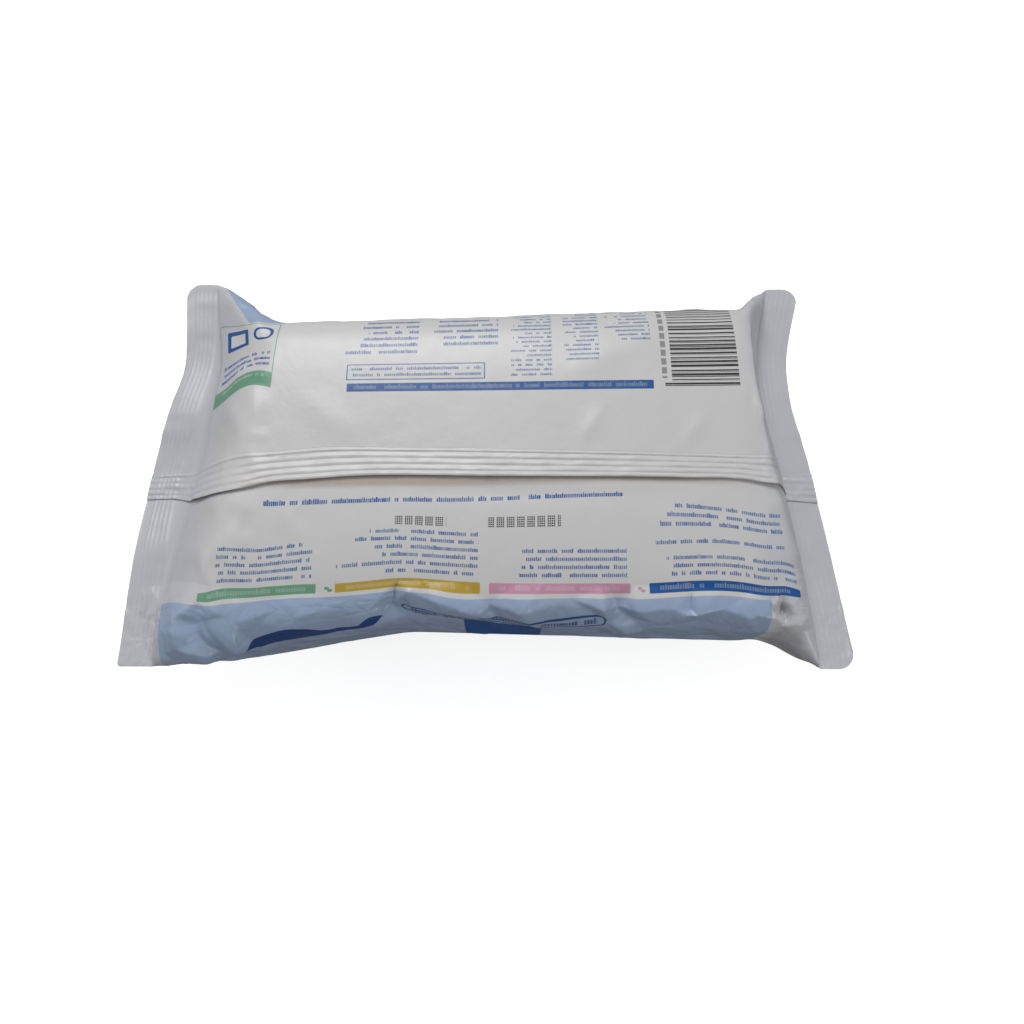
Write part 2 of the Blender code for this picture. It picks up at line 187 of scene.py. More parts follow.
def film_sheet(x, place, table, side):
    """Points of the film's upper (side +1) or lower (side -1) sheet."""
    left = x < 0
    distance = PACK_LENGTH / 2 - np.abs(x)
    fullness = fullness_at(x, place)
    section = read_table(table, fullness, place)
    widening = np.where(place < 0, NEAR_TAPER, FAR_TAPER) * smooth_step(fullness)
    taper = 1.0 + widening * x / (PACK_LENGTH / 2)
    y = section[..., 0] * half_width(x, place, distance) * taper
    y += BODY_SHIFT_Y * smooth_step(fullness)
    line = side_curve(left, LEFT_SEAL_LINE, RIGHT_SEAL_LINE, place) * MM
    fade = 1.0 - smooth_step(fullness)
    inward = line[..., 0] * fade * np.where(left, 1.0, -1.0)
    z = BODY_MIDDLE + line[..., 1] * fade + side * (section[..., 1] + SHEET_OFFSET)
    return np.stack([x + inward, y, z], axis=-1)


# Folds of the crumpled near wall, in film coordinates: millimetres along the pack, and
# round it from the middle of the back, with the near side negative. Each fold is a
# line of points: place along, place round, and height over the smooth film. The film
# is flat between the folds.
FOLDS = (
    # the left end
    (
        (-82.5, -46.5, 0.5), (-88.2, -51.8, 1.3), (-93.2, -55.2, 0.9), (-87.6, -58.7, 1.5),
        (-81.2, -59, 1.1), (-80, -61.5, 1),
    ),
    ((-80.5, -50.5, 0.1), (-76.2, -53.8, 1.1), (-72.2, -55.2, 1.7), (-76.8, -58.6, 0.4)),
    ((-84, -52, -0.5), (-82.4, -55.4, -0.6)),
    ((-74.5, -47.7, 0.6), (-72, -48.2, 0.8), (-69, -51.8, 0.1)),
    ((-98.8, -63.8, 0), (-93, -61, 0.7)),
    # between the left end and the peak
    ((-62, -45.5, 0.2), (-52, -48, 0.7), (-42, -46.5, 0.2), (-33, -48.5, 0.4)),
    ((-66, -57, 0), (-56, -54.5, 0.4), (-44, -57, 0), (-33, -55, 0.5)),
    ((-72, -61, 0.3), (-60, -60, 0.2), (-40, -62, 0.3)),
    # the peak, and the wavy ridge to its right
    (
        (-27.4, -49.4, -1), (-22, -44.2, 2), (-16, -46.6, 1.2), (-9, -48.8, 1.5),
        (-2.3, -50.6, 1.3), (0.8, -48, 0.3), (10.2, -49.9, 1.6), (19.5, -47.7, 0.6),
        (25.5, -46.2, 0.2), (34.2, -48.6, 1.4), (38.5, -48.4, -0.5), (43, -52.8, -0.7),
    ),
    (
        (43.8, -48.6, 1.4), (55.2, -47.8, 1), (58, -49, 1.5), (59.2, -48, 0.3),
        (61, -49, 1.5), (69, -47.7, 0.6), (76.2, -49.4, 1.6), (79, -48.6, 1.4),
        (82, -46.4, 0.2),
    ),
    ((-20, -53.5, -0.4), (-8, -56, -0.5), (4, -54, -0.2), (16, -57.5, 0.5)),
    ((36, -53, 0.2), (41.5, -56.8, 1.1), (48, -59.5, 0.2)),
    ((52, -54.5, 0.2), (62, -53, -0.5), (74, -55, 0.3)),
    # the near right corner
    ((83.6, -46.6, 1), (86.3, -50.2, -0.7), (84.2, -50.9, 0.8)),
    ((85.6, -46.9, -0.2), (88.6, -48.6, 0.7)),
    ((88.8, -54.8, 0.8), (91.8, -59, 0.2)),
)
FOLD_STRENGTH = 2.1
FOLDS_LEFT = -102.0
FOLDS_RIGHT = 94.0
FOLDS_TOP = -41.8
FOLDS_BOTTOM = -67.0
FRAME_STEPS = 24

# Softer creases elsewhere, in the same coordinates. Rows are start, end, width, height,
# and how sharp the crest is.
CREASES = (
    (-83, -40, -76, -28, 3, 0.5, 0.6),
    (88, -44, 97, -58, 4, 0.7, 0.4),
    (86, -40, 84, -22, 4, 0.5, 0.4),
    # the edges of the stack of wipes
    (-68, -13, -66, -34, 3, 0.35, 0.7),
    (-76, 24, -70, 6, 3.4, 0.4, 0.6),
    (-60, -11.5, -62.5, -15.5, 1.6, 0.3, 0.9),
    (-52, -10.7, -59, -22, 2.4, 0.3, 0.8),
    (83, -14, 82, -36, 2.4, 0.3, 0.6),
    # the far ears
    (-97, 58, -72, 45, 4.6, 0.9, 0.4),
    (-94, 48, -82, 33, 5, -1, 0.3),
    (-90, 56, -76, 52, 3.4, -0.5, 0.4),
    (97, 58, 82, 48, 4.2, 1.5, 0.5),
    (95, 48, 88, 30, 3.6, -0.8, 0.4),
    # the left end's soft folds
    (-96, 24, -74, 6, 4, 0.7, 0.3),
    (-94, 36, -78, 22, 4.4, 0.8, 0.3),
    (-95, 8, -79, -2, 3.4, -0.5, 0.3),
    (-96, -18, -76, -16, 3.6, 0.7, 0.3),
    (-96, -26, -78, -25, 3, -0.6, 0.3),
    (-96, -36, -80, -31, 3.6, 0.7, 0.4),
    # the right end's soft folds
    (96, 18, 84, 8, 3, 0.6, 0.4),
    (96, -22, 84, -18, 3.6, 0.6, 0.4),
    (98, -34, 88, -34, 3, 0.6, 0.5),
    # the back, beside the seam
    (22, 24, 58, 42, 6, 0.5, 0.3),
    (28, 2, 36, 14, 3, 0.45, 0.5),
    (60, 2, 67, 12, 3, 0.45, 0.5),
    (-40, 4, -58, 18, 5, 0.4, 0.3),
    (-62, -16, -52, -30, 4, 0.4, 0.3),
    (-30, -14, 60, -15, 3, -0.35, 0.2),
    # the far wall and the front, out of the photograph's view
    (-60, -140, -20, -150, 6, 0.6, 0.5),
    (-70, 58, -40, 62, 4, 1, 0.7),
    (-34, 56, -6, 60, 3.6, 0.9, 0.8),
    (0, 61, 26, 56, 3.8, 1, 0.7),
    (30, 58, 66, 61, 4, 0.9, 0.7),
    (-50, 64, 40, 65, 5, -0.8, 0.4),
    (64, 54, 80, 60, 3.2, 1, 0.8),
    (-84, -72, -52, -80, 5, 1, 0.6),
    (-20, -70, 16, -74, 5, 0.9, 0.5),
    (30, -72, 74, -78, 5, 0.9, 0.6),
    (-90, -186, -60, -178, 5, 1, 0.6),
    (60, -178, 92, -188, 5, 1, 0.6),
)
# Share of a crease's height left at its ends, and how fast a sharp crest falls
CREASE_ENDS = 0.25
SHARP_FALL = 1.6


def crease_field(x, g, rows):
    """Height of the creases at each point of the film, in metres."""
    total = np.zeros_like(x)
    for x0, g0, x1, g1, width, height, sharp in rows:
        dx, dg = x1 - x0, g1 - g0
        rx, rg = x / MM - x0, g / MM - g0
        along = np.clip((rx * dx + rg * dg) / (dx * dx + dg * dg), 0.0, 1.0)
        distance = np.hypot(rx - along * dx, rg - along * dg)
        fade = CREASE_ENDS + (1.0 - CREASE_ENDS) * np.sin(math.pi * along)
        round_crest = np.exp(-((distance / width) ** 2))
        sharp_crest = np.exp(-SHARP_FALL * distance / width)
        total += height * MM * fade * (sharp * sharp_crest + (1.0 - sharp) * round_crest)
    return total


def facet_field(x, g, points, lines):
    """Height, in metres, of flat facets between points of place along, round and height."""
    flat = [Vector(point[:2]) for point in points]
    places, _, triangles, sources, _, _ = delaunay_2d_cdt(flat, lines, [], 0, 1e-4)
    heights = [points[source[0]][2] if source else 0.0 for source in sources]
    corners = np.array([(*place, height) for place, height in zip(places, heights)])
    xm, gm = x / MM, g / MM
    total = np.zeros_like(x)
    for triangle in triangles:
        (ax, ag, ah), (bx, bg, bh), (cx, cg, ch) = corners[list(triangle)]
        twice_area = (bx - ax) * (cg - ag) - (cx - ax) * (bg - ag)
        b = ((xm - ax) * (cg - ag) - (cx - ax) * (gm - ag)) / twice_area
        c = ((bx - ax) * (gm - ag) - (xm - ax) * (bg - ag)) / twice_area
        inside = (b >= 0.0) & (c >= 0.0) & (b + c <= 1.0)
        total = np.where(inside, ah + b * (bh - ah) + c * (ch - ah), total)
    return total * MM


def fold_field(x, g):
    """Height of the near wall's folds at each point of the film."""
    points, lines = [], []
    for fold in FOLDS:
        lines += [(len(points) + i, len(points) + i + 1) for i in range(len(fold) - 1)]
        points += [(px, pg, height * FOLD_STRENGTH) for px, pg, height in fold]
    for px in np.linspace(FOLDS_LEFT, FOLDS_RIGHT, FRAME_STEPS):
        points += [(px, FOLDS_TOP, 0.0), (px, FOLDS_BOTTOM, 0.0)]
    return facet_field(x, g, points, lines)


# Crumpled bands of the film: where they start and end along it and round it, the
# crumples' size, and their height.
CRUMPLES = (
    (-99, -62, -67, -45.5, 4.2, 0.55),
    (-62, -20, -62, -46, 5, 0.22),
    (-20, 82, -52.5, -45.8, 3.4, 0.34),
    (-20, 82, -66, -52.5, 6, 0.20),
    (82, 97, -66, -44, 3.4, 0.50),
    (-96, -70, 36, 64, 7, 0.35),
    (-80, 84, 52, 66, 6, 0.40),
)
CRUMPLE_SHUFFLE = 0.45
CRUMPLE_SEED = 41


def crumple_field(x, g):
    """Height of the fine crumples at each point of the film."""
    rng = np.random.default_rng(CRUMPLE_SEED)
    total = np.zeros_like(x)
    for x0, x1, g0, g1, size, height in CRUMPLES:
        columns = max(3, round((x1 - x0) / size) + 1)
        rows = max(3, round((g1 - g0) / size) + 1)
        points = []
        for i, px in enumerate(np.linspace(x0, x1, columns)):
            for j, pg in enumerate(np.linspace(g0, g1, rows)):
                if i in (0, columns - 1) or j in (0, rows - 1):
                    points.append((px, pg, 0.0))
                else:
                    moved = rng.uniform(-CRUMPLE_SHUFFLE, CRUMPLE_SHUFFLE, 2) * size
                    points.append((px + moved[0], pg + moved[1], rng.uniform(-height, height)))
        total += facet_field(x, g, points, [])
    return total


LATTICE = 64


def value_noise(x, y, seed):
    """Smooth noise between -1 and +1 on a lattice of unit cells."""
    rng = np.random.default_rng(seed)
    lattice = rng.uniform(-1.0, 1.0, (LATTICE, LATTICE))
    xi, yi = np.floor(x).astype(int), np.floor(y).astype(int)
    fx, fy = smooth_step(x - xi), smooth_step(y - yi)
    a, b, c, d = (lattice[(xi + i) % LATTICE, (yi + j) % LATTICE] for j in (0, 1) for i in (0, 1))
    return (a * (1 - fx) + b * fx) * (1 - fy) + (c * (1 - fx) + d * fx) * fy


# Bands of livelier film: strength, middle round the film, and spread
LIVELY_BANDS = ((0.35, -60.0, 13.0), (1.0, -74.0, 9.0), (0.5, 64.0, 13.0))
# Heights of the waves in millimetres: broad ones, then medium and fine ones
BODY_WAVES = 0.16
SIDE_WAVES = (0.50, 0.20)
SLOPE_WAVES = (0.30, 0.10)


def ripple_field(x, g, fullness):
    """Fine waves of the film: soft on the flat back, livelier on walls and slopes."""
    xm, gm = x / MM, g / MM
    bands = sum(size * np.exp(-(((gm - at) / spread) ** 2)) for size, at, spread in LIVELY_BANDS)
    lively = np.clip(bands, 0.0, 1.0)
    ends = 4.0 * fullness * (1.0 - fullness)
    broad = value_noise(xm / 26.0 + 7.3, gm / 17.0 + 2.1, 11)
    medium = 1.0 - 2.0 * np.abs(value_noise(xm / 11.0 + 0.35 * gm / 11.0, gm / 7.5, 12))
    fine = 1.0 - 2.0 * np.abs(value_noise(xm / 5.0 - 0.4 * gm / 5.0, gm / 4.0, 13))
    sides = lively * (SIDE_WAVES[0] * medium + SIDE_WAVES[1] * fine)
    slopes = ends * (SLOPE_WAVES[0] * medium + SLOPE_WAVES[1] * fine)
    return MM * (BODY_WAVES * broad + sides + slopes) * smooth_step(fullness * 6.0)


# Ribs of the end seals: where they start, their pitch and how many there are
LEFT_RIBS = (3.5 * MM, 1.45 * MM, 4)
RIGHT_RIBS = (1.3 * MM, 1.65 * MM, 5)
RIB_HEIGHT = 0.20 * MM
RIB_WEAR = 0.35
FAR_WEAR = 0.6
FOLD_LINE = 3.0 * MM
FOLD_LINE_WIDTH = 0.25 * MM
FOLD_LINE_HEIGHT = 0.9
RIB_SWAY = 0.25
RIB_ROUNDNESS = 1.5


def seal_ribs(distance, place, ribs):
    """Embossed ribs of an end seal, as a height above the flat seal."""
    start, pitch, count = ribs
    sway = RIB_SWAY * value_noise(place * 4.0 + 9.0, distance / SEAL_WIDTH, 23)
    band = (distance - start) / pitch + sway
    inside = (band > 0.0) & (band < count)
    teeth = np.where(inside, 1.0 - np.abs(2.0 * (band % 1.0) - 1.0) ** RIB_ROUNDNESS, 0.0)
    worn = 1.0 - RIB_WEAR + RIB_WEAR * value_noise(place * 18.0, distance / pitch, 21)
    worn *= 1.0 - FAR_WEAR * smooth_step((place + 0.1) / 0.5)
    fold = np.exp(-(((distance - FOLD_LINE) / FOLD_LINE_WIDTH) ** 2)) * (start > FOLD_LINE)
    return RIB_HEIGHT * (teeth * worn + FOLD_LINE_HEIGHT * fold)


# Heights in millimetres of the seals' slow and quick waves
SEAL_WAVES = (0.5, 0.16)


def seal_waves(distance, place):
    """Slow waves of the free seal, up and down."""
    free = 1.0 - smooth_step(distance / (2.0 * SEAL_WIDTH))
    slow = value_noise(place * 5.0 + 3.0, distance / SEAL_WIDTH * 0.4, 22)
    quick = value_noise(place * 19.0 + 1.0, distance / SEAL_WIDTH * 1.5, 24)
    return MM * free * (SEAL_WAVES[0] * slow + SEAL_WAVES[1] * quick)


def film_normals(points):
    """Outward normals of a grid of points whose rows run round the film."""
    along = np.gradient(points, axis=0)
    around = np.roll(points, -1, axis=1) - np.roll(points, 1, axis=1)
    normals = np.cross(along, around)
    length = np.linalg.norm(normals, axis=-1, keepdims=True)
    return normals / np.maximum(length, 1e-12)


def column_places():
    """Places along the pack of the film's columns of points."""
    seal = np.linspace(0.0, SEAL_WIDTH, SEAL_COLUMNS + 1)
    left = seal - PACK_LENGTH / 2
    body = np.linspace(left[-1], -left[-1], BODY_COLUMNS + 1)[1:-1]
    return np.concatenate([left, body, -left[::-1]])


def row_places():
    """Places across the upper sheet from near to far, then across the lower one back."""
    upper = np.interp(np.linspace(0.0, 1.0, SHEET_ROWS), ROW_SHARES, ROW_PLACES)
    return upper, upper[-2:0:-1]


def film_grid():
    """Points of the whole film, their film coordinates and fullness, as grids."""
    x = column_places()
    sheets = []
    kinds = ((TOP_ROUNDNESS, 1.0), (BELLY_ROUNDNESS, -1.0))
    for places, (roundness, side) in zip(row_places(), kinds):
        along, place = np.meshgrid(x, places, indexing="ij")
        points = film_sheet(along, place, section_table(roundness), side)
        girth = place * FLAT_WIDTH / 2
        sheets.append((points, along, place, girth if side > 0 else FLAT_WIDTH - girth))
    points, along, place, girth = (np.concatenate(pair, axis=1) for pair in zip(*sheets))
    girth = np.where(girth > FLAT_WIDTH / 2, girth - 2.0 * FLAT_WIDTH, girth)
    return points, along, girth, place, fullness_at(along, place)


# How far from its edge the belly, which the wipes press flat, loses its creases, and how
# much of its dents it keeps
BELLY_BLEND = 14.0 * MM
BELLY_DENTS = 0.3
# How strongly the body's edges are rounded along the pack, and where that starts
SOFTENING_PASSES = 20
SOFTENING_START = 0.35
SOFTENING_SPAN = 0.5


def soften(points, fullness):
    """The points with the body's ends rounded, and the seals as they were."""
    soft = points.copy()
    for _ in range(SOFTENING_PASSES):
        soft[1:-1] = (soft[:-2] + 2.0 * soft[1:-1] + soft[2:]) / 4.0
    share = smooth_step((fullness - SOFTENING_START) / SOFTENING_SPAN)[..., None]
    return points * (1.0 - share) + soft * share


def dress_film(points, along, girth, place, fullness):
    """The film's points with its folds, creases, ripples and the seals' ribs."""
    points = soften(points, fullness)
    normals = film_normals(points)
    height = crease_field(along, girth, CREASES) * smooth_step(fullness * 4.0)
    height += fold_field(along, girth) + crumple_field(along, girth)
    height += ripple_field(along, girth, fullness)
    half = FLAT_WIDTH / 2
    into_belly = np.minimum(-girth - half, girth + 3.0 * half)
    flat = smooth_step(into_belly / BELLY_BLEND)
    height = height * (1.0 - flat) + np.minimum(height, 0.0) * BELLY_DENTS * flat
    dressed = points + normals * height[..., None]
    distance = PACK_LENGTH / 2 - np.abs(along)
    left = seal_ribs(distance, place, LEFT_RIBS)
    right = seal_ribs(distance, place, RIGHT_RIBS)
    ribs = np.where(along < 0, left, right) * (distance <= SEAL_WIDTH * 1.02)
    dressed[..., 2] += ribs + seal_waves(distance, place)
    return dressed


SHARP_ANGLE = math.radians(50.0)
FILM_MAP = "film"
MAP_MIDDLE = 0.5


def closed_tube(name, rings, coordinates, pairs):
    """A mesh through rings of points, closed at both ends between the paired points."""
    columns, rows = rings.shape[:2]
    index = np.arange(columns * rows).reshape(columns, rows)
    after = np.roll(index, -1, axis=1)
    quads = np.stack([index[:-1], after[:-1], after[1:], index[1:]], axis=-1).reshape(-1, 4)
    faces = quads.tolist()
    for ring, flip in ((index[0], True), (index[-1], False)):
        for (a, b), (c, d) in zip(pairs, pairs[1:]):
            corners = [int(ring[i]) for i in dict.fromkeys((a, c, d, b))]
            faces.append(corners[::-1] if flip else corners)
    mesh = bpy.data.meshes.new(name)
    mesh.from_pydata(rings.reshape(-1, 3).tolist(), [], faces)
    layer = mesh.uv_layers.new(name=FILM_MAP)
    corner = np.empty(len(mesh.loops), dtype=np.int32)
    mesh.loops.foreach_get("vertex_index", corner)
    flat = coordinates.reshape(-1, 2)[corner]
    around = flat[:4 * len(quads), 1].reshape(-1, 4)
    across_join = around.max(axis=1) - around.min(axis=1) > FLAT_WIDTH
    around[across_join] -= 2.0 * FLAT_WIDTH * (around[across_join] > MAP_MIDDLE)
    layer.data.foreach_set("uv", flat.ravel().astype(np.float32))
    mesh.shade_smooth()
    mesh.set_sharp_from_angle(angle=SHARP_ANGLE)
    piece = bpy.data.objects.new(name, mesh)
    bpy.context.scene.collection.objects.link(piece)
    return piece


def face_outward(piece):
    """Turn a closed piece's faces outward."""
    mesh = bmesh.new()
    mesh.from_mesh(piece.data)
    bmesh.ops.recalc_face_normals(mesh, faces=mesh.faces)
    mesh.to_mesh(piece.data)
    mesh.free()


# How far the print is shifted round the film, in mm. Each row has a place round the
# film, and pairs of a place along it and the shift there.
PRINT_SHIFT = (
    (-66, ((-94, 0.5), (-68, -1.5), (-22, -1.5), (0, 0.3), (90, 0))),
    (-54, (
        (-94, 1), (-82, -1.5), (-68, -3.5), (-32, -3.5), (-18, -3),
        (-6, 0.1), (20, 1.8), (36, -0.2), (90, 0),
    )),
    (-50.5, (
        (-94, 2), (-82, -0.5), (-68, -3.5), (-26, -4.5), (-17, -1.2),
        (-7, 1), (8, 0.7), (35, -0.7), (60, 0),
    )),
    (-45.5, (
        (-94, 2.9), (-81, 1.9), (-74, -1.4), (-67, -3.7), (-57, -3.7),
        (-47, -2.4), (-32, -1.4), (-22, -1.4), (-9, 0.5), (11, 0.3), (42, -0.4),
        (80, -0.8), (84, 0), (92, 3.2),
    )),
    (-41, (
        (-92, 4), (-83, 3.7), (-75, -0.4), (-67, -2.8), (-57, -2.5),
        (-43, -1), (-22, -0.5), (-2, 0.3), (42, -0.3), (78, -0.9), (84, 0.4),
        (92, 4),
    )),
    (-28, (
        (-90, 5), (-79, 2.9), (-68, 0.2), (-49, -1.2), (-2, 0.4), (42, -0.2),
        (80, 0.2), (92, 3.8),
    )),
    (-17, ((-90, 0), (-66, -0.5), (-20, 0), (80, 0.4), (92, 3.2))),
    (10, ((-91, 0), (-68, -5), (-60, 0))),
    (30, ((-91, 0), (-68, -5.4), (-60, 0))),
    (40, ((-91, 0), (-80, -1.5), (-68, -3.5), (-60, 0))),
    (48, ((-97, -1.2), (-80, 0.9), (-68, -2.7), (-60, 0))),
)
# How far the far left corner's print is drawn along the pack, as a share of the place
CORNER_LEAN = 0.18
CORNER_EDGE = -68.0
CORNER_BASE = 17.0
CORNER_SPAN = 32.0


def print_shift(along, girth):
    """The print's shift round the film at each point, in metres."""
    places = np.array([place for place, _ in PRINT_SHIFT])
    shifts = [curve_through(pairs, along / MM)[..., 0] for _, pairs in PRINT_SHIFT]
    inside = np.clip(girth / MM, places[0], places[-1])
    row = np.clip(np.searchsorted(places, inside, "right") - 1, 0, len(places) - 2)
    share = (inside - places[row]) / (places[row + 1] - places[row])
    stack = np.array(shifts)
    low = np.take_along_axis(stack, row[None], axis=0)[0]
    high = np.take_along_axis(stack, row[None] + 1, axis=0)[0]
    return MM * (low * (1.0 - share) + high * share)


def film_map(along, girth):
    """Where each point lies in the print, moved into the unit square."""
    past_edge = np.maximum(CORNER_EDGE * MM - along, 0.0)
    up = np.clip((girth / MM - CORNER_BASE) / CORNER_SPAN, 0.0, 1.2)
    u = along + CORNER_LEAN * past_edge * up
    return np.stack([u + MAP_MIDDLE, girth + print_shift(along, girth) + MAP_MIDDLE], axis=-1)


def make_film():
    """The printed film, as one closed tube from seal to seal."""
    points, along, girth, place, fullness = film_grid()
    dressed = dress_film(points, along, girth, place, fullness)
    count = dressed.shape[1]
    pairs = [(i, (count - i) % count) for i in range(SHEET_ROWS)]
    piece = closed_tube("film_wrapper", dressed, film_map(along, girth), pairs)
    face_outward(piece)
    return piece, dressed


# Back seam: a folded strip, from its root to its free edge. Rows are a place along the
# pack and the root's or the edge's place across it.
SEAM_ROOT = (
    (-108, -4.8), (-97, -4.3), (-80, -3.8), (-69, -3.3), (-51, -1.6), (-20, -1.5),
    (58, -2.8), (82, -3.4), (108, -3.2),
)
SEAM_EDGE = (
    (-108, -13.4), (-97, -13.6), (-90, -15.6), (-82.5, -16), (-73, -15.2),
    (-66, -13.1), (-53, -11.8), (-44, -11), (4, -10.6), (58, -10.8), (76, -11.2),
    (87, -12.9), (94, -12.6), (108, -13.3),
)
# The part of the print, all bare, that the seam takes
SEAM_MAP_WIDTH = 4.5 * MM
SEAM_BLEND = 22.0 * MM
SEAM_PLEATS = (0.0, 0.146, 0.378, 0.61, 0.835, 1.0)
SEAM_PLEAT_DEPTH = 0.24 * MM
SEAM_PLEAT_LEAN = 1.6
SEAM_CRUMPLE = 0.13 * MM
SEAM_THICKNESS = 0.25 * MM
SEAM_ROWS = 61
SEAM_GAP = 0.12 * MM
# The free edge's lift, in millimetres, how it varies, and how late it comes
SEAM_LIFT = 0.55
SEAM_LIFT_VARIES = 0.3
SEAM_LIFT_POWER = 2.2
# The bridge over the slope at each end, in millimetres: height, place and spread
SEAM_BRIDGE = (0.8, 88.0, 6.0)


def seam_height(x, body, reach):
    """How high the seam stands over the film, from its root to its free edge."""
    limits = np.array(SEAM_PLEATS)
    pleat = np.clip(np.searchsorted(limits, reach, "right") - 1, 0, len(limits) - 2)
    share = (reach - limits[pleat]) / (limits[pleat + 1] - limits[pleat])
    ridge = np.sin(math.pi * np.clip(share, 0.0, 1.0) ** SEAM_PLEAT_LEAN)
    pleats = SEAM_PLEAT_DEPTH * ridge * (0.5 + 0.5 * body)
    xm = x / MM
    crumple = value_noise(xm / 6.0 + reach * 2.0, reach * 5.0 + 0.5, 33)
    crumple += 0.5 * value_noise(xm / 2.2, reach * 9.0 + 0.5, 34)
    wave = value_noise(np.array([xm / 24.0]), np.array([1.5]), 32)[0]
    lift = (SEAM_LIFT + SEAM_LIFT_VARIES * wave) * body
    rise, at, spread = SEAM_BRIDGE
    bridge = rise * np.exp(-(((abs(xm) - at) / spread) ** 2))
    root = smooth_step(reach / 0.06)
    folds = (pleats + SEAM_CRUMPLE * crumple) * root
    return folds + (lift + bridge) * MM * reach**SEAM_LIFT_POWER + SEAM_GAP


def make_back_seam(film):
    """The folded seam: a pleated strip on the film, lifted along its free edge."""
    upper = film[:, :SHEET_ROWS]
    places = column_places()
    reach = np.linspace(0.0, 1.0, SEAM_ROWS)
    roots = curve_through(SEAM_ROOT, places / MM)[:, 0] * MM
    edges = curve_through(SEAM_EDGE, places / MM)[:, 0] * MM
    low = np.zeros((len(places), SEAM_ROWS, 3))
    for i, x in enumerate(places):
        body = smooth_step((PACK_LENGTH / 2 - SEAL_WIDTH - abs(x)) / SEAM_BLEND)
        y = roots[i] + (edges[i] - roots[i]) * reach
        px = np.interp(y, upper[i][:, 1], upper[i][:, 0])
        z = np.interp(y, upper[i][:, 1], upper[i][:, 2])
        low[i] = np.stack([px, y, z + seam_height(x, body, reach)], axis=-1)
    low[:, 0, 2] -= 0.5 * MM
    high = low + np.array([0.0, 0.0, SEAM_THICKNESS])
    rings = np.concatenate([high[:, ::-1], low], axis=1)
    pairs = [(SEAM_ROWS - 1 - i, SEAM_ROWS + i) for i in range(SEAM_ROWS)]
    across = np.concatenate([-reach[::-1], -reach]) * SEAM_MAP_WIDTH
    along, girth = np.meshgrid(places, across, indexing="ij")
    piece = closed_tube("back_seam", rings, film_map(along, girth), pairs)
    face_outward(piece)
    return piece


def linear(red, green, blue):
    """A colour given in display values from 0 to 255, as linear values."""
    parts = [c / 255.0 for c in (red, green, blue)]
    return tuple(p / 12.92 if p <= 0.04045 else ((p + 0.055) / 1.055) ** 2.4 for p in parts)


FILM_WHITE = linear(203, 202, 202)
# Greyer film at the seals and the body's ends: partly the film's own tone with no wipes behind it,
# partly painted shade
SEAL_GREY_AND_SHADE = linear(188, 189, 195)
# Painted shadow: the brownish shade laid on the film under the seam's lifted free edge
SEAM_PAINTED_SHADOW = linear(170, 160, 150)
PALE_BLUE = linear(150, 168, 196)
GREEN = linear(100, 152, 124)
YELLOW = linear(178, 150, 48)
PINK = linear(192, 140, 164)
BLUE = linear(2, 80, 146)
NAVY = linear(24, 62, 122)
SMALL_PRINT = linear(8, 84, 152)
INK_BLACK = linear(52, 50, 54)
BAR_INK = linear(40, 38, 40)


class Tree:
    """The nodes of a material or world, with short calls. Paint is laid on its colour."""

    def __init__(self, owner, ground=(1.0, 1.0, 1.0)):
        owner.use_nodes = True
        self.owner = owner
        self.nodes = owner.node_tree.nodes
        self.links = owner.node_tree.links
        self.colour = (*ground, 1.0)

    def feed(self, socket, value):
        if isinstance(value, bpy.types.NodeSocket):
            self.links.new(value, socket)
        else:
            socket.default_value = value

    def fill(self, node, **inputs):
        """Feed the node's inputs, written with underscores for the spaces in their names."""
        for key, value in inputs.items():
            self.feed(node.inputs[key.replace("_", " ")], value)
        return node

    def add(self, kind, **inputs):
        return self.fill(self.nodes.new(kind), **inputs)

    def work_out(self, kind, operation, values):
        node = self.nodes.new(kind)
        node.operation = operation
        for socket, value in zip(node.inputs, values):
            self.feed(socket, value)
        return node.outputs

    def math(self, operation, *values):
        return self.work_out("ShaderNodeMath", operation, values)[0]

    def vector(self, operation, *values):
        outputs = self.work_out("ShaderNodeVectorMath", operation, values)
        return outputs["Value" if operation == "LENGTH" else "Vector"]

    def times(self, first, second):
        return self.math("MULTIPLY", first, second)

    def away(self, value, middle):
        """How far the value is from the middle."""
        return self.math("ABSOLUTE", self.math("SUBTRACT", value, middle))

    def cells(self, value, pitch):
        """The number of the cell that the value is in, and the share across it."""
        cell = self.math("DIVIDE", value, pitch)
        return self.math("FLOOR", cell), self.math("FRACT", cell)

    def parts(self, vector):
        """The vector's three parts."""
        return self.add("ShaderNodeSeparateXYZ", Vector=vector).outputs

    def ramp(self, value, low, high):
        """0 below low and 1 above high, or the other way round if high is below low."""
        node = self.nodes.new("ShaderNodeMapRange")
        node.interpolation_type = "SMOOTHSTEP"
        backwards = high < low
        self.fill(node, Value=value, From_Min=min(low, high), From_Max=max(low, high))
        self.fill(node, To_Min=float(backwards), To_Max=float(not backwards))
        return node.outputs["Result"]

    def noise(self, vector, scale, detail, roughness):
        node = self.add("ShaderNodeTexNoise", Vector=vector, Scale=scale)
        return self.fill(node, Detail=detail, Roughness=roughness).outputs["Fac"]

    def facets(self, vector, scale):
        """Height of small pyramids that meet in valleys, with no two alike."""
        node = self.add("ShaderNodeTexVoronoi", Vector=vector, Scale=scale)
        node.voronoi_dimensions = "2D"
        node.feature = "DISTANCE_TO_EDGE"
        return node.outputs["Distance"]

    def paint(self, ink, mask):
        """Lay ink on the colour so far, where the mask is 1."""
        node = self.nodes.new("ShaderNodeMix")
        node.data_type = "RGBA"
        self.feed(node.inputs["Factor"], mask)
        self.feed(node.inputs[6], self.colour)
        self.feed(node.inputs[7], (*ink, 1.0))
        self.colour = node.outputs[2]


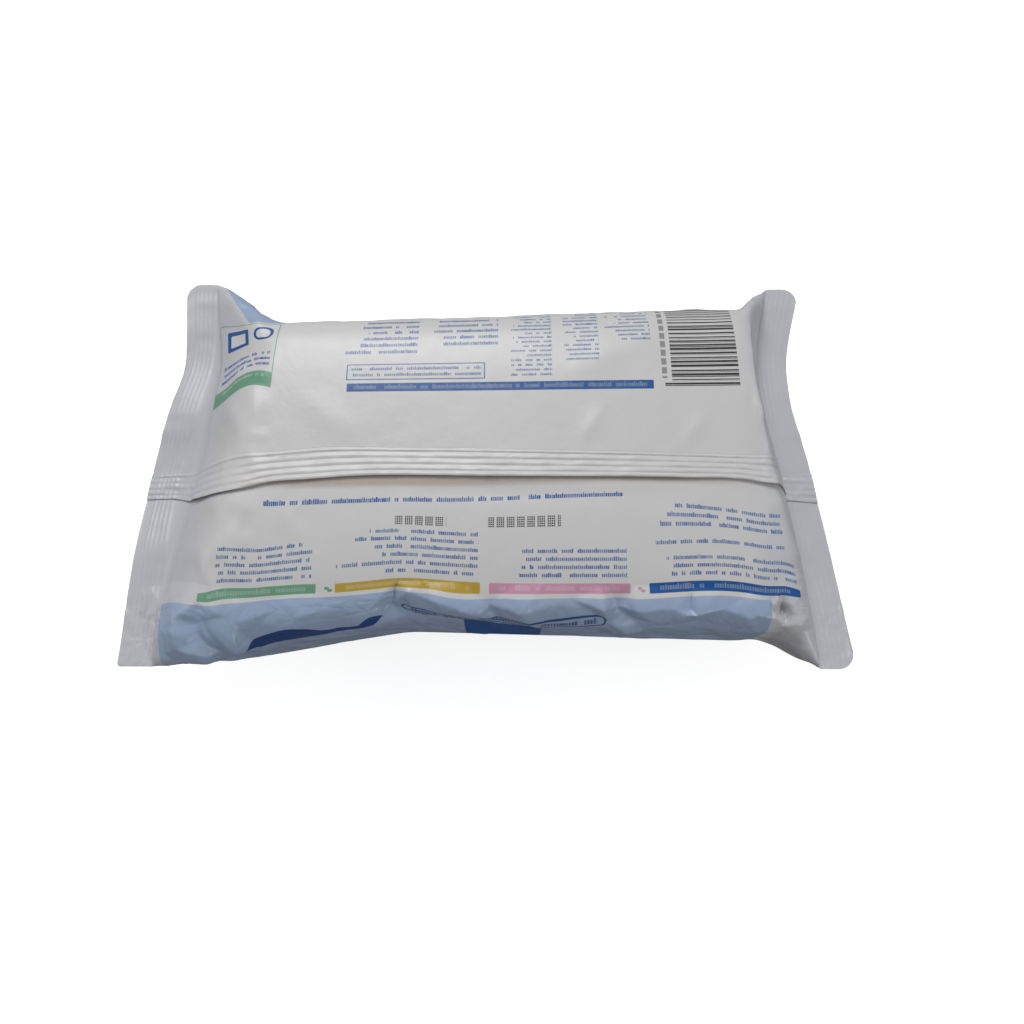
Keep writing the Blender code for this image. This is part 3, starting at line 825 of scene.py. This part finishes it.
class FilmTree(Tree):
    """The film's nodes, with each point's place along it and round it in millimetres."""

    def __init__(self, owner, ground):
        super().__init__(owner, ground)
        where = self.nodes.new("ShaderNodeUVMap")
        where.uv_map = FILM_MAP
        moved = self.vector("SUBTRACT", where.outputs["UV"], (MAP_MIDDLE, MAP_MIDDLE, 0.0))
        self.point = self.vector("MULTIPLY", moved, (1.0 / MM, 1.0 / MM, 0.0))
        self.along, self.around, _ = self.parts(self.point)


# Half the softness of a printed edge, in millimetres, and the radius of a crisp corner
PRINT_EDGE = 0.12
STRIPE_EDGE = 0.08
LINE_EDGE = 0.1
CRISP = 0.1


def field(tree, x0, x1, v0, v1, radius=0.3, edge=PRINT_EDGE):
    """1 inside a rectangle with rounded corners, in millimetres of film."""
    centre = ((x0 + x1) / 2, (v0 + v1) / 2, 0.0)
    half = (abs(x1 - x0) / 2 - radius, abs(v1 - v0) / 2 - radius, 0.0)
    away = tree.vector("ABSOLUTE", tree.vector("SUBTRACT", tree.point, centre))
    outside = tree.vector("MAXIMUM", tree.vector("SUBTRACT", away, half), (0.0, 0.0, 0.0))
    return tree.ramp(tree.vector("LENGTH", outside), radius + edge, radius - edge)


def inset(box, ends, sides):
    """The box made smaller at both its ends, along the pack, and at both its sides."""
    x0, x1, v0, v1 = box
    return x0 + ends, x1 - ends, v0 + sides, v1 - sides


def outline(tree, box, line, radius):
    """1 along the border of a rectangle with rounded corners."""
    outer = field(tree, *box, radius)
    inner = field(tree, *inset(box, line, line), max(radius - line, 0.1))
    return tree.math("SUBTRACT", outer, inner)


def beyond(tree, start, end):
    """1 on the right of the line from start to end, seen with v upwards."""
    along = Vector(end) - Vector(start)
    side = Vector((-along.y, along.x)).normalized()
    x, v, _ = tree.parts(tree.vector("SUBTRACT", tree.point, (*start, 0.0)))
    offset = tree.math("MULTIPLY_ADD", x, side.x, tree.times(v, side.y))
    return tree.ramp(offset, -LINE_EDGE, LINE_EDGE)


def random_cells(tree, x, y, seed):
    """Three random numbers for each cell, given whole numbers x and y."""
    cell = tree.add("ShaderNodeCombineXYZ", X=x, Y=y, Z=seed)
    noise = tree.nodes.new("ShaderNodeTexWhiteNoise")
    noise.noise_dimensions = "3D"
    tree.fill(noise, Vector=cell.outputs[0])
    return tree.parts(noise.outputs["Color"])


# Strokes of the small print, in shares of their column or row: the half width of a
# stroke, how far it varies and what a heavy word adds, half the height and what a tall
# stroke adds. Random numbers over or under a limit choose heavy words, tall strokes and
# gaps. Words stay a little dark between their strokes.
STROKE_STEP = 0.58
STROKE_WIDTH = 0.17
STROKE_VARIES = 0.16
HEAVY_EXTRA = 0.12
HEAVY_OVER = 0.72
STROKE_HEIGHT = 0.21
ROW_HEIGHT = 0.20
TALL_EXTRA = 0.13
TALL_OVER = 0.78
GAPS_UNDER = 0.15
BETWEEN_STROKES = 0.38
WORD_SEED_STEP = 0.5
BLOCK_SEED_STEP = 3.0
ENDS_SEED = 1.5


def text_rows(tree, pitch, offset):
    """The number of the row of small print at each point, and the share across it."""
    return tree.cells(tree.math("SUBTRACT", tree.around, offset), pitch)


def strokes(tree, row, share, seed, step=STROKE_STEP, height=STROKE_HEIGHT):
    """Upright strokes in word-long runs, in the rhythm of small print."""
    column, across = tree.cells(tree.along, step)
    pair, _ = tree.cells(tree.along, 2.0 * step)
    width, tall, _ = random_cells(tree, column, row, seed)
    kept, heavy, _ = random_cells(tree, pair, row, seed + WORD_SEED_STEP)
    extra = tree.times(tree.math("GREATER_THAN", heavy, HEAVY_OVER), HEAVY_EXTRA)
    width = tree.math("ADD", tree.math("MULTIPLY_ADD", width, STROKE_VARIES, STROKE_WIDTH), extra)
    tall = tree.math("GREATER_THAN", tall, TALL_OVER)
    rise = tree.math("MULTIPLY_ADD", tall, TALL_EXTRA, height)
    level = tree.math("SUBTRACT", share, 0.5)
    upright = tree.math("LESS_THAN", tree.away(across, 0.5), width)
    for limit in (tree.math("LESS_THAN", level, rise), tree.math("GREATER_THAN", level, -height)):
        upright = tree.times(upright, limit)
    low = tree.math("LESS_THAN", tree.math("ABSOLUTE", level), height)
    toned = tree.math("MAXIMUM", upright, tree.times(low, BETWEEN_STROKES))
    return tree.times(toned, tree.math("GREATER_THAN", kept, GAPS_UNDER))


def ragged_block(tree, row, block, seed):
    """1 inside a block of lines, whose lines end unevenly on the side of x0."""
    *box, uneven = block
    chance = random_cells(tree, row, seed, ENDS_SEED)[0]
    end = tree.math("MULTIPLY_ADD", tree.math("POWER", chance, 2.0), uneven, box[0])
    return tree.times(field(tree, *box, CRISP), tree.math("GREATER_THAN", tree.along, end))


def text_blocks(tree, blocks, pitch, seed):
    """Small print in blocks, with rows in line from the first block's near edge."""
    row, share = text_rows(tree, pitch, blocks[0][2])
    places = 0.0
    for index, block in enumerate(blocks):
        lines = ragged_block(tree, row, block, seed + BLOCK_SEED_STEP * index)
        places = tree.math("MAXIMUM", places, lines)
    return tree.times(strokes(tree, row, share, seed), places)


def one_row(tree, box, seed, step):
    """One row of strokes in the middle of a bar or strip."""
    row, share = text_rows(tree, box[3] - box[2], box[2])
    return tree.times(strokes(tree, row, share, seed, step, ROW_HEIGHT), field(tree, *box, CRISP))


# Print on the film, and the painted shade at the seals and by the seam, in millimetres of film. A box
# is x0, x1, v0, v1, with v negative on the near side. A text block also has how far its lines' ends
# vary.
FIELD_REACH = 300.0
PALE_LEFT, PALE_RIGHT = -94.3, 82.7
PALE_NEAR, PALE_FAR = -45.8, 53.0
PALE_CORNER = (PALE_LEFT, CORNER_EDGE + 1.0, 48.2, FIELD_REACH)
CORNER_LINE = ((-87.6, 61.8), (-78.3, 47.6))
# Millimetres from the middle over which the greyer seal colour, partly painted shade, comes in
SEAL_GREY_AND_SHADE_SPAN = (74.0, 92.0)
# The painted shadow under the seam's free edge: its box, its corner radius and edge softness, where it
# fades towards the ends, and its share
SEAM_PAINTED_SHADOW_FIELD = (-72.0, 84.0, -12.4, -6.4)
SEAM_PAINTED_SHADOW_SOFTNESS = (1.2, 1.1)
SEAM_PAINTED_SHADOW_FADE = (84.0, 50.0)
SEAM_PAINTED_SHADOW_SHARE = 0.9
HEADER_BARS = (
    (-82.6, -49.0, GREEN),
    (-43.5, -1.6, YELLOW),
    (1.0, 42.0, PINK),
    (47.4, 91.2, BLUE),
)
HEADER_NEAR = -44.5
HEADER_FAR = -41.5
HEADER_MARGIN = 3.0
HEADER_RADIUS = 0.35
HEADER_STEP = 0.72
HEADER_SEED = 23.0
HEADER_SHARE = 0.29
LONG_LINE = (-66.0, 40.5, -18.5, -15.4)
STRIP = (-43.9, 51.6, 19.7, 22.7)
NOTE_BOX = (-44.3, -1.0, 23.9, 29.8)
INFO_BOX = (-91.5, -67.8, 16.6, 47.6)
INFO_BAND = (-91.5, -67.8, 16.6, 22.2)
INFO_ROW = (-88.5, -70.8, 19.5, 21.7)
INFO_SQUARE = (-88.3, -79.5, 37.4, 45.2)
INFO_SQUARE_HOLE = (-87.0, -81.1, 38.8, 43.6)
INFO_RING = (-77.1, -69.5, 38.8, 45.4)
LABEL = (-24.5, 35.2, -55.2, -51.4)
FRONT_PANEL = (-6.6, 16.6, -78.0, -55.9)
DOT_GRIDS = ((-26.8, -11.8, -25.2, -22.3), (0.5, 22.0, -25.2, -22.3))
DOT_PITCH = 0.6
DOT_HALF = 0.36
GLYPH_PITCH = 3.0
GLYPH_SHARE = 0.78
STRIPE_BLOCK = (57.4, 78.6, 20.4, 62.0)
GUARD_STRIPES = (55.2, 57.4, 20.4, 22.0)
STRIPE_PITCH = 1.5
STRIPE_SEED = 5.0
# A wide stripe's least share of the pitch and how far it varies, and a thin one's place
# and most
WIDE_STRIPE = (0.18, 0.44)
THIN_STRIPE = (0.80, 0.12)
DASH_COLUMN = (54.4, 56.0, 23.2, 62.0)
DASH_PITCH = 3.1
DASH_SHARE = 0.72
DASH_INK = 0.6
NEAR_BLOCKS = (
    (-82.5, -50.4, -40.4, -28.5, 7.0),
    (-43.5, -2.2, -40.4, -26.1, 16.0),
    (9.5, 41.0, -40.4, -30.9, 12.0),
    (48.5, 90.6, -40.4, -33.3, 6.0),
    (48.5, 87.6, -30.8, -28.5, 2.0),
    (48.5, 87.6, -26.1, -18.9, 10.0),
)
UPPER_BLOCKS = ((-45.5, -22.5, 33.0, 49.5, 9.0), (-18.5, 3.0, 35.7, 49.5, 7.0))
LIST_BLOCKS = (
    (7.0, 20.0, 24.2, 52.0, 5.0),
    (23.0, 35.0, 29.4, 52.0, 5.0),
    (37.0, 51.5, 36.5, 52.0, 6.0),
)
NOTE_BLOCKS = ((*inset(NOTE_BOX, 1.2, 0.7), 6.0),)
INFO_BLOCKS = ((-89.5, -69.3, 24.0, 33.0, 4.0),)
# Sets of blocks: the rows' pitch, the seed and the ink's share
SMALL_PRINT_SETS = (
    (NEAR_BLOCKS, 2.38, 11.0, 0.85),
    (UPPER_BLOCKS, 2.75, 13.0, 0.85),
    (LIST_BLOCKS, 1.75, 15.0, 0.80),
    (NOTE_BLOCKS, 2.2, 21.0, 0.8),
    (INFO_BLOCKS, 2.9, 31.0, 1.0),
)
# Plain shapes, in the order of their laying: ink, box and the corners' radius
SHAPES = (
    (BLUE, FRONT_PANEL, 0.4),
    (NAVY, LABEL, 1.4),
    (PALE_BLUE, inset(LABEL, 0.5, 0.5), 1.1),
    (GREEN, (-46.6, -45.2, -43.4, -42.4), 0.45),
    (GREEN, (-45.7, -44.2, -44.1, -43.1), 0.45),
    (PINK, (44.0, 45.2, -43.4, -42.5), 0.45),
    (PINK, (44.9, 46.2, -44.1, -43.2), 0.45),
    (BLUE, STRIP, 0.2),
    (GREEN, INFO_BAND, 0.3),
    (BLUE, INFO_SQUARE, 0.6),
    (FILM_WHITE, INFO_SQUARE_HOLE, 0.4),
)
# Outlines: ink, box, the line's width and the corners' radius
OUTLINES = (
    (SMALL_PRINT, NOTE_BOX, 0.35, 0.3),
    (GREEN, INFO_BOX, 0.3, 1.0),
    (BLUE, INFO_RING, 1.1, 3.0),
)
# Single rows of strokes: ink, box, seed, step and the ink's share
STROKE_ROWS = (
    (SMALL_PRINT, LONG_LINE, 17.0, 0.62, 1.0),
    (FILM_WHITE, inset(STRIP, 2.0, 0.0), 19.0, 0.62, 0.27),
    (FILM_WHITE, INFO_ROW, 29.0, 0.6, 0.5),
    (NAVY, inset(LABEL, 2.5, 0.0), 41.0, 0.9, 0.85),
)
# The dark sweep: a wavy band that rises and thins towards its right end
SWEEP_START = -70.5
SWEEP_END = -30.0
SWEEP_TIP = 4.0
SWEEP_MIDDLE = -59.3
SWEEP_RISE = 1.4
SWEEP_WAVE = 1.15
SWEEP_CREST = -60.0
SWEEP_LENGTH = 32.0
SWEEP_WIDE = 2.2
SWEEP_THIN = 0.55


def lay_print_and_painted_shade(tree):
    """The whole print, and the painted shade laid with its fields: the fields of colour and shade,
    then the shapes, the rows and the stripes.
    """
    lay_fields(tree)
    lay_sweep(tree)
    lay_headers(tree)
    for ink, box, line, radius in OUTLINES:
        tree.paint(ink, outline(tree, box, line, radius))
    for ink, box, radius in SHAPES:
        tree.paint(ink, field(tree, *box, radius))
    for ink, box, seed, step, share in STROKE_ROWS:
        tree.paint(ink, tree.times(one_row(tree, box, seed, step), share))
    for blocks, pitch, seed, share in SMALL_PRINT_SETS:
        tree.paint(SMALL_PRINT, tree.times(text_blocks(tree, blocks, pitch, seed), share))
    lay_dot_grids(tree)
    lay_stripes(tree)


def lay_fields(tree):
    """Greyer seals, partly their own tone and partly painted shade, a soft painted shadow beside the
    seam, and the pale blue round the white back.
    """
    from_middle = tree.math("ABSOLUTE", tree.along)
    # Greyer seals and ends, partly the film's own tone and partly painted shade
    tree.paint(SEAL_GREY_AND_SHADE, tree.ramp(from_middle, *SEAL_GREY_AND_SHADE_SPAN))
    # Painted shadow on the film under the seam's free edge
    shade = field(tree, *SEAM_PAINTED_SHADOW_FIELD, *SEAM_PAINTED_SHADOW_SOFTNESS)
    shade = tree.times(shade, tree.ramp(from_middle, *SEAM_PAINTED_SHADOW_FADE))
    tree.paint(SEAM_PAINTED_SHADOW, tree.times(shade, SEAM_PAINTED_SHADOW_SHARE))
    below = field(tree, PALE_LEFT, PALE_RIGHT, -FIELD_REACH, PALE_NEAR)
    above = field(tree, CORNER_EDGE, PALE_RIGHT, PALE_FAR, FIELD_REACH)
    corner = tree.times(field(tree, *PALE_CORNER), beyond(tree, *CORNER_LINE))
    tree.paint(PALE_BLUE, tree.math("MAXIMUM", below, tree.math("MAXIMUM", above, corner)))


def lay_sweep(tree):
    """The dark rounded sweep on the near wall."""
    share = tree.ramp(tree.along, SWEEP_START, SWEEP_END)
    phase = tree.times(tree.math("SUBTRACT", tree.along, SWEEP_CREST), math.tau / SWEEP_LENGTH)
    middle = tree.math("MULTIPLY_ADD", tree.math("COSINE", phase), SWEEP_WAVE, SWEEP_MIDDLE)
    middle = tree.math("MULTIPLY_ADD", share, SWEEP_RISE, middle)
    half = tree.math("MULTIPLY_ADD", share, SWEEP_THIN - SWEEP_WIDE, SWEEP_WIDE)
    left_tip = tree.ramp(tree.along, SWEEP_START, SWEEP_START + SWEEP_TIP)
    right_tip = tree.ramp(tree.along, SWEEP_END, SWEEP_END - SWEEP_TIP)
    half = tree.times(half, tree.math("SQRT", tree.times(left_tip, right_tip)))
    tree.paint(NAVY, tree.math("LESS_THAN", tree.away(tree.around, middle), half))


def lay_headers(tree):
    """Four coloured bars, with a row of pale strokes through them."""
    row, share = text_rows(tree, HEADER_FAR - HEADER_NEAR, HEADER_NEAR)
    marks = strokes(tree, row, share, HEADER_SEED, HEADER_STEP, ROW_HEIGHT)
    inside = 0.0
    for x0, x1, ink in HEADER_BARS:
        bar = (x0, x1, HEADER_NEAR, HEADER_FAR)
        tree.paint(ink, field(tree, *bar, HEADER_RADIUS))
        middle = field(tree, *inset(bar, HEADER_MARGIN, 0.0), CRISP)
        inside = tree.math("MAXIMUM", inside, middle)
    tree.paint(FILM_WHITE, tree.times(tree.times(marks, inside), HEADER_SHARE))


def lay_dot_grids(tree):
    """Printer's dots in small even grids, all alike, with gaps between them."""
    _, glyph = tree.cells(tree.along, GLYPH_PITCH)
    marks = tree.math("LESS_THAN", glyph, GLYPH_SHARE)
    for place in (tree.along, tree.around):
        _, share = tree.cells(place, DOT_PITCH)
        marks = tree.times(marks, tree.math("LESS_THAN", tree.away(share, 0.5), DOT_HALF))
    for box in DOT_GRIDS:
        tree.paint(INK_BLACK, tree.times(marks, field(tree, *box, 0.2)))


def lay_stripes(tree):
    """A block of stripes, one wide and perhaps one thin to each pitch, and dashes beside it."""
    cell, share = tree.cells(tree.around, STRIPE_PITCH)
    width, thinness, _ = random_cells(tree, cell, 0.0, STRIPE_SEED)
    wide = tree.math("MULTIPLY_ADD", width, WIDE_STRIPE[1], WIDE_STRIPE[0])
    wide = tree.math("LESS_THAN", share, wide)
    thin = tree.times(thinness, THIN_STRIPE[1])
    thin = tree.math("LESS_THAN", tree.away(share, THIN_STRIPE[0]), thin)
    block, guard, column = (
        field(tree, *box, CRISP, STRIPE_EDGE) for box in (STRIPE_BLOCK, GUARD_STRIPES, DASH_COLUMN)
    )
    inside = tree.math("MAXIMUM", block, guard)
    tree.paint(BAR_INK, tree.times(tree.math("MAXIMUM", wide, thin), inside))
    _, share = tree.cells(tree.around, DASH_PITCH)
    dashes = tree.times(tree.math("LESS_THAN", share, DASH_SHARE), column)
    tree.paint(BAR_INK, tree.times(dashes, DASH_INK))


# The film's surface. A noise is its number to a millimetre, its detail and roughness.
MOTTLE = (0.06, 3.0, 0.6)
MOTTLE_SPAN = (0.25, 0.75)
MOTTLE_GREY = linear(150, 150, 158)
MOTTLE_SHARE = 0.05
GLOSS = (0.25, 3.0, 0.55)
ROUGHNESS_LEAST = 0.30
ROUGHNESS_VARIES = 0.16
DENTS = (0.10, 3.0, 0.55)
DENT_HEIGHT = 0.9
GRAIN = (1.1, 3.0, 0.6)
GRAIN_HEIGHT = 0.06
# Fine crinkles of the near wall: where they fade in round the film, in millimetres,
# their number to a millimetre, their unevenness, and their height
CRINKLE_EDGE = (-45.0, -48.5)
CRINKLE_SCALE = 0.17
CRINKLE_WARP = 5.0
CRINKLE_HEIGHT = 1.8


def film_height(tree):
    """Height of the film's dents, grain and crinkles."""
    dents = tree.times(tree.noise(tree.point, *DENTS), DENT_HEIGHT)
    height = tree.math("MULTIPLY_ADD", tree.noise(tree.point, *GRAIN), GRAIN_HEIGHT, dents)
    warp = tree.add("ShaderNodeTexNoise", Vector=tree.point, Scale=CRINKLE_SCALE)
    moved = tree.vector("MULTIPLY_ADD", warp.outputs["Color"], (CRINKLE_WARP,) * 3, tree.point)
    wall = tree.times(tree.ramp(tree.around, *CRINKLE_EDGE), CRINKLE_HEIGHT)
    return tree.math("ADD", height, tree.times(tree.facets(moved, CRINKLE_SCALE), wall))


def finish_material(tree, roughness, bump, distance, height, **inputs):
    """The material with its colour, roughness and bump on the shader, and other inputs."""
    shader = tree.nodes["Principled BSDF"]
    node = tree.add("ShaderNodeBump", Strength=bump, Distance=distance, Height=height)
    tree.fill(shader, Base_Color=tree.colour, Roughness=roughness, Normal=node.outputs["Normal"])
    tree.fill(shader, **inputs)
    return tree.owner


def film_material():
    """Satin white film with its print, painted shade at the seals and by the seam, fine creases and a
    little unevenness of gloss.
    """
    tree = FilmTree(bpy.data.materials.new("printed_film"), FILM_WHITE)
    lay_print_and_painted_shade(tree)
    mottle = tree.ramp(tree.noise(tree.point, *MOTTLE), *MOTTLE_SPAN)
    tree.paint(MOTTLE_GREY, tree.times(mottle, MOTTLE_SHARE))
    gloss = tree.noise(tree.point, *GLOSS)
    roughness = tree.math("MULTIPLY_ADD", gloss, ROUGHNESS_VARIES, ROUGHNESS_LEAST)
    shine = {"Specular_IOR_Level": 0.4, "Coat_Weight": 0.06, "Coat_Roughness": 0.22}
    return finish_material(tree, roughness, 0.5, 0.5 * MM, film_height(tree), **shine)


LID_WHITE = linear(222, 224, 228)
LID_GREY = linear(206, 210, 218)


def lid_material():
    """Smooth moulded plastic with a faint orange-peel surface."""
    tree = Tree(bpy.data.materials.new("lid_plastic"), LID_WHITE)
    where = tree.nodes.new("ShaderNodeTexCoord").outputs["Object"]
    tree.paint(LID_GREY, tree.noise(where, 60.0, 2.0, 0.5))
    gloss = tree.noise(where, 220.0, 3.0, 0.6)
    roughness = tree.math("MULTIPLY_ADD", gloss, 0.12, 0.24)
    return finish_material(tree, roughness, 0.25, 0.1 * MM, tree.noise(where, 900.0, 2.0, 0.5))


def set_material(piece, material):
    piece.data.materials.clear()
    piece.data.materials.append(material)


# Camera, fitted to the photograph's corners
CAMERA_PLACE = (7.3 * MM, -88.6 * MM, 266.8 * MM)
CAMERA_DOWN = math.radians(72.86)
CAMERA_TURN = math.radians(0.25)
CAMERA_ROLL = math.radians(0.47)
FOCAL_PIXELS = 770.0
IMAGE_PIXELS = 1024.0
SENSOR_WIDTH = 36.0
CLIP_START = 0.01


def make_camera():
    turns = (
        Matrix.Rotation(-CAMERA_TURN, 4, "Z"),
        Matrix.Rotation(math.pi / 2 - CAMERA_DOWN, 4, "X"),
        Matrix.Rotation(CAMERA_ROLL, 4, "Z"),
    )
    lens = bpy.data.cameras.new("camera")
    lens.lens = SENSOR_WIDTH * FOCAL_PIXELS / IMAGE_PIXELS
    lens.sensor_width = SENSOR_WIDTH
    lens.clip_start = CLIP_START
    camera = bpy.data.objects.new("camera", lens)
    camera.matrix_world = Matrix.Translation(CAMERA_PLACE) @ turns[0] @ turns[1] @ turns[2]
    bpy.context.scene.collection.objects.link(camera)
    bpy.context.scene.camera = camera


def background_share(tree):
    """1 for rays that see the background straight or through glass."""
    rays = tree.nodes.new("ShaderNodeLightPath").outputs
    return tree.math("MAXIMUM", rays["Is Camera Ray"], rays["Is Transmission Ray"])


FLOOR_SIZE = 2.0
FLOOR_GLOW = 0.70
FLOOR_SEEN = (0.80, 0.80, 0.80)
FLOOR_BOUNCE = (0.25, 0.24, 0.24)
WHITE_LIGHT = (1.0, 1.0, 1.0, 1.0)


def make_floor():
    """A pale plain floor that shows white to the camera and keeps the shadow."""
    bpy.ops.mesh.primitive_plane_add(size=FLOOR_SIZE)
    floor = bpy.context.object
    floor.name = "floor"
    tree = Tree(bpy.data.materials.new("floor_white"), FLOOR_BOUNCE)
    seen = background_share(tree)
    tree.paint(FLOOR_SEEN, seen)
    shader = tree.nodes["Principled BSDF"]
    tree.fill(shader, Base_Color=tree.colour, Roughness=0.9, Specular_IOR_Level=0.1)
    tree.fill(shader, Emission_Color=WHITE_LIGHT, Emission_Strength=tree.times(seen, FLOOR_GLOW))
    set_material(floor, tree.owner)


WORLD_LIGHT = 0.30


def make_world():
    world = bpy.data.worlds.new("studio")
    bpy.context.scene.world = world
    tree = Tree(world)
    share = background_share(tree)
    strength = tree.add("ShaderNodeMapRange", Value=share, To_Min=WORLD_LIGHT, To_Max=1.0)
    background = tree.nodes["Background"]
    tree.fill(background, Color=WHITE_LIGHT, Strength=strength.outputs["Result"])


# Lamps: name, place, size and power, all aimed at the same point over the floor
LIGHTS = (
    ("overhead", (-0.20, 0.80, 0.85), 0.55, 8.5),
    ("left_window", (-0.85, 0.10, 0.50), 0.40, 0.8),
    ("right_front", (0.72, -0.62, 0.52), 0.18, 2.2),
)
LIGHT_TARGET = Vector((0.0, 0.0, 0.03))


def make_lights():
    for name, place, size, power in LIGHTS:
        light = bpy.data.lights.new(name, "AREA")
        light.size = size
        light.energy = power
        lamp = bpy.data.objects.new(name, light)
        lamp.location = place
        lamp.rotation_euler = (LIGHT_TARGET - Vector(place)).to_track_quat("-Z", "Y").to_euler()
        bpy.context.scene.collection.objects.link(lamp)


def main():
    make_camera()
    film, dressed = make_film()
    seam = make_back_seam(dressed)
    printed = film_material()
    for piece in (film, seam):
        set_material(piece, printed)
        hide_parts("pack")
        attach(piece, "wrapper")
    plastic = lid_material()
    for name in ("lid_frame", "lid_cover"):
        set_material(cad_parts[name], plastic)
    make_floor()
    make_world()
    make_lights()
    bpy.context.scene.view_settings.view_transform = "Standard"


main()
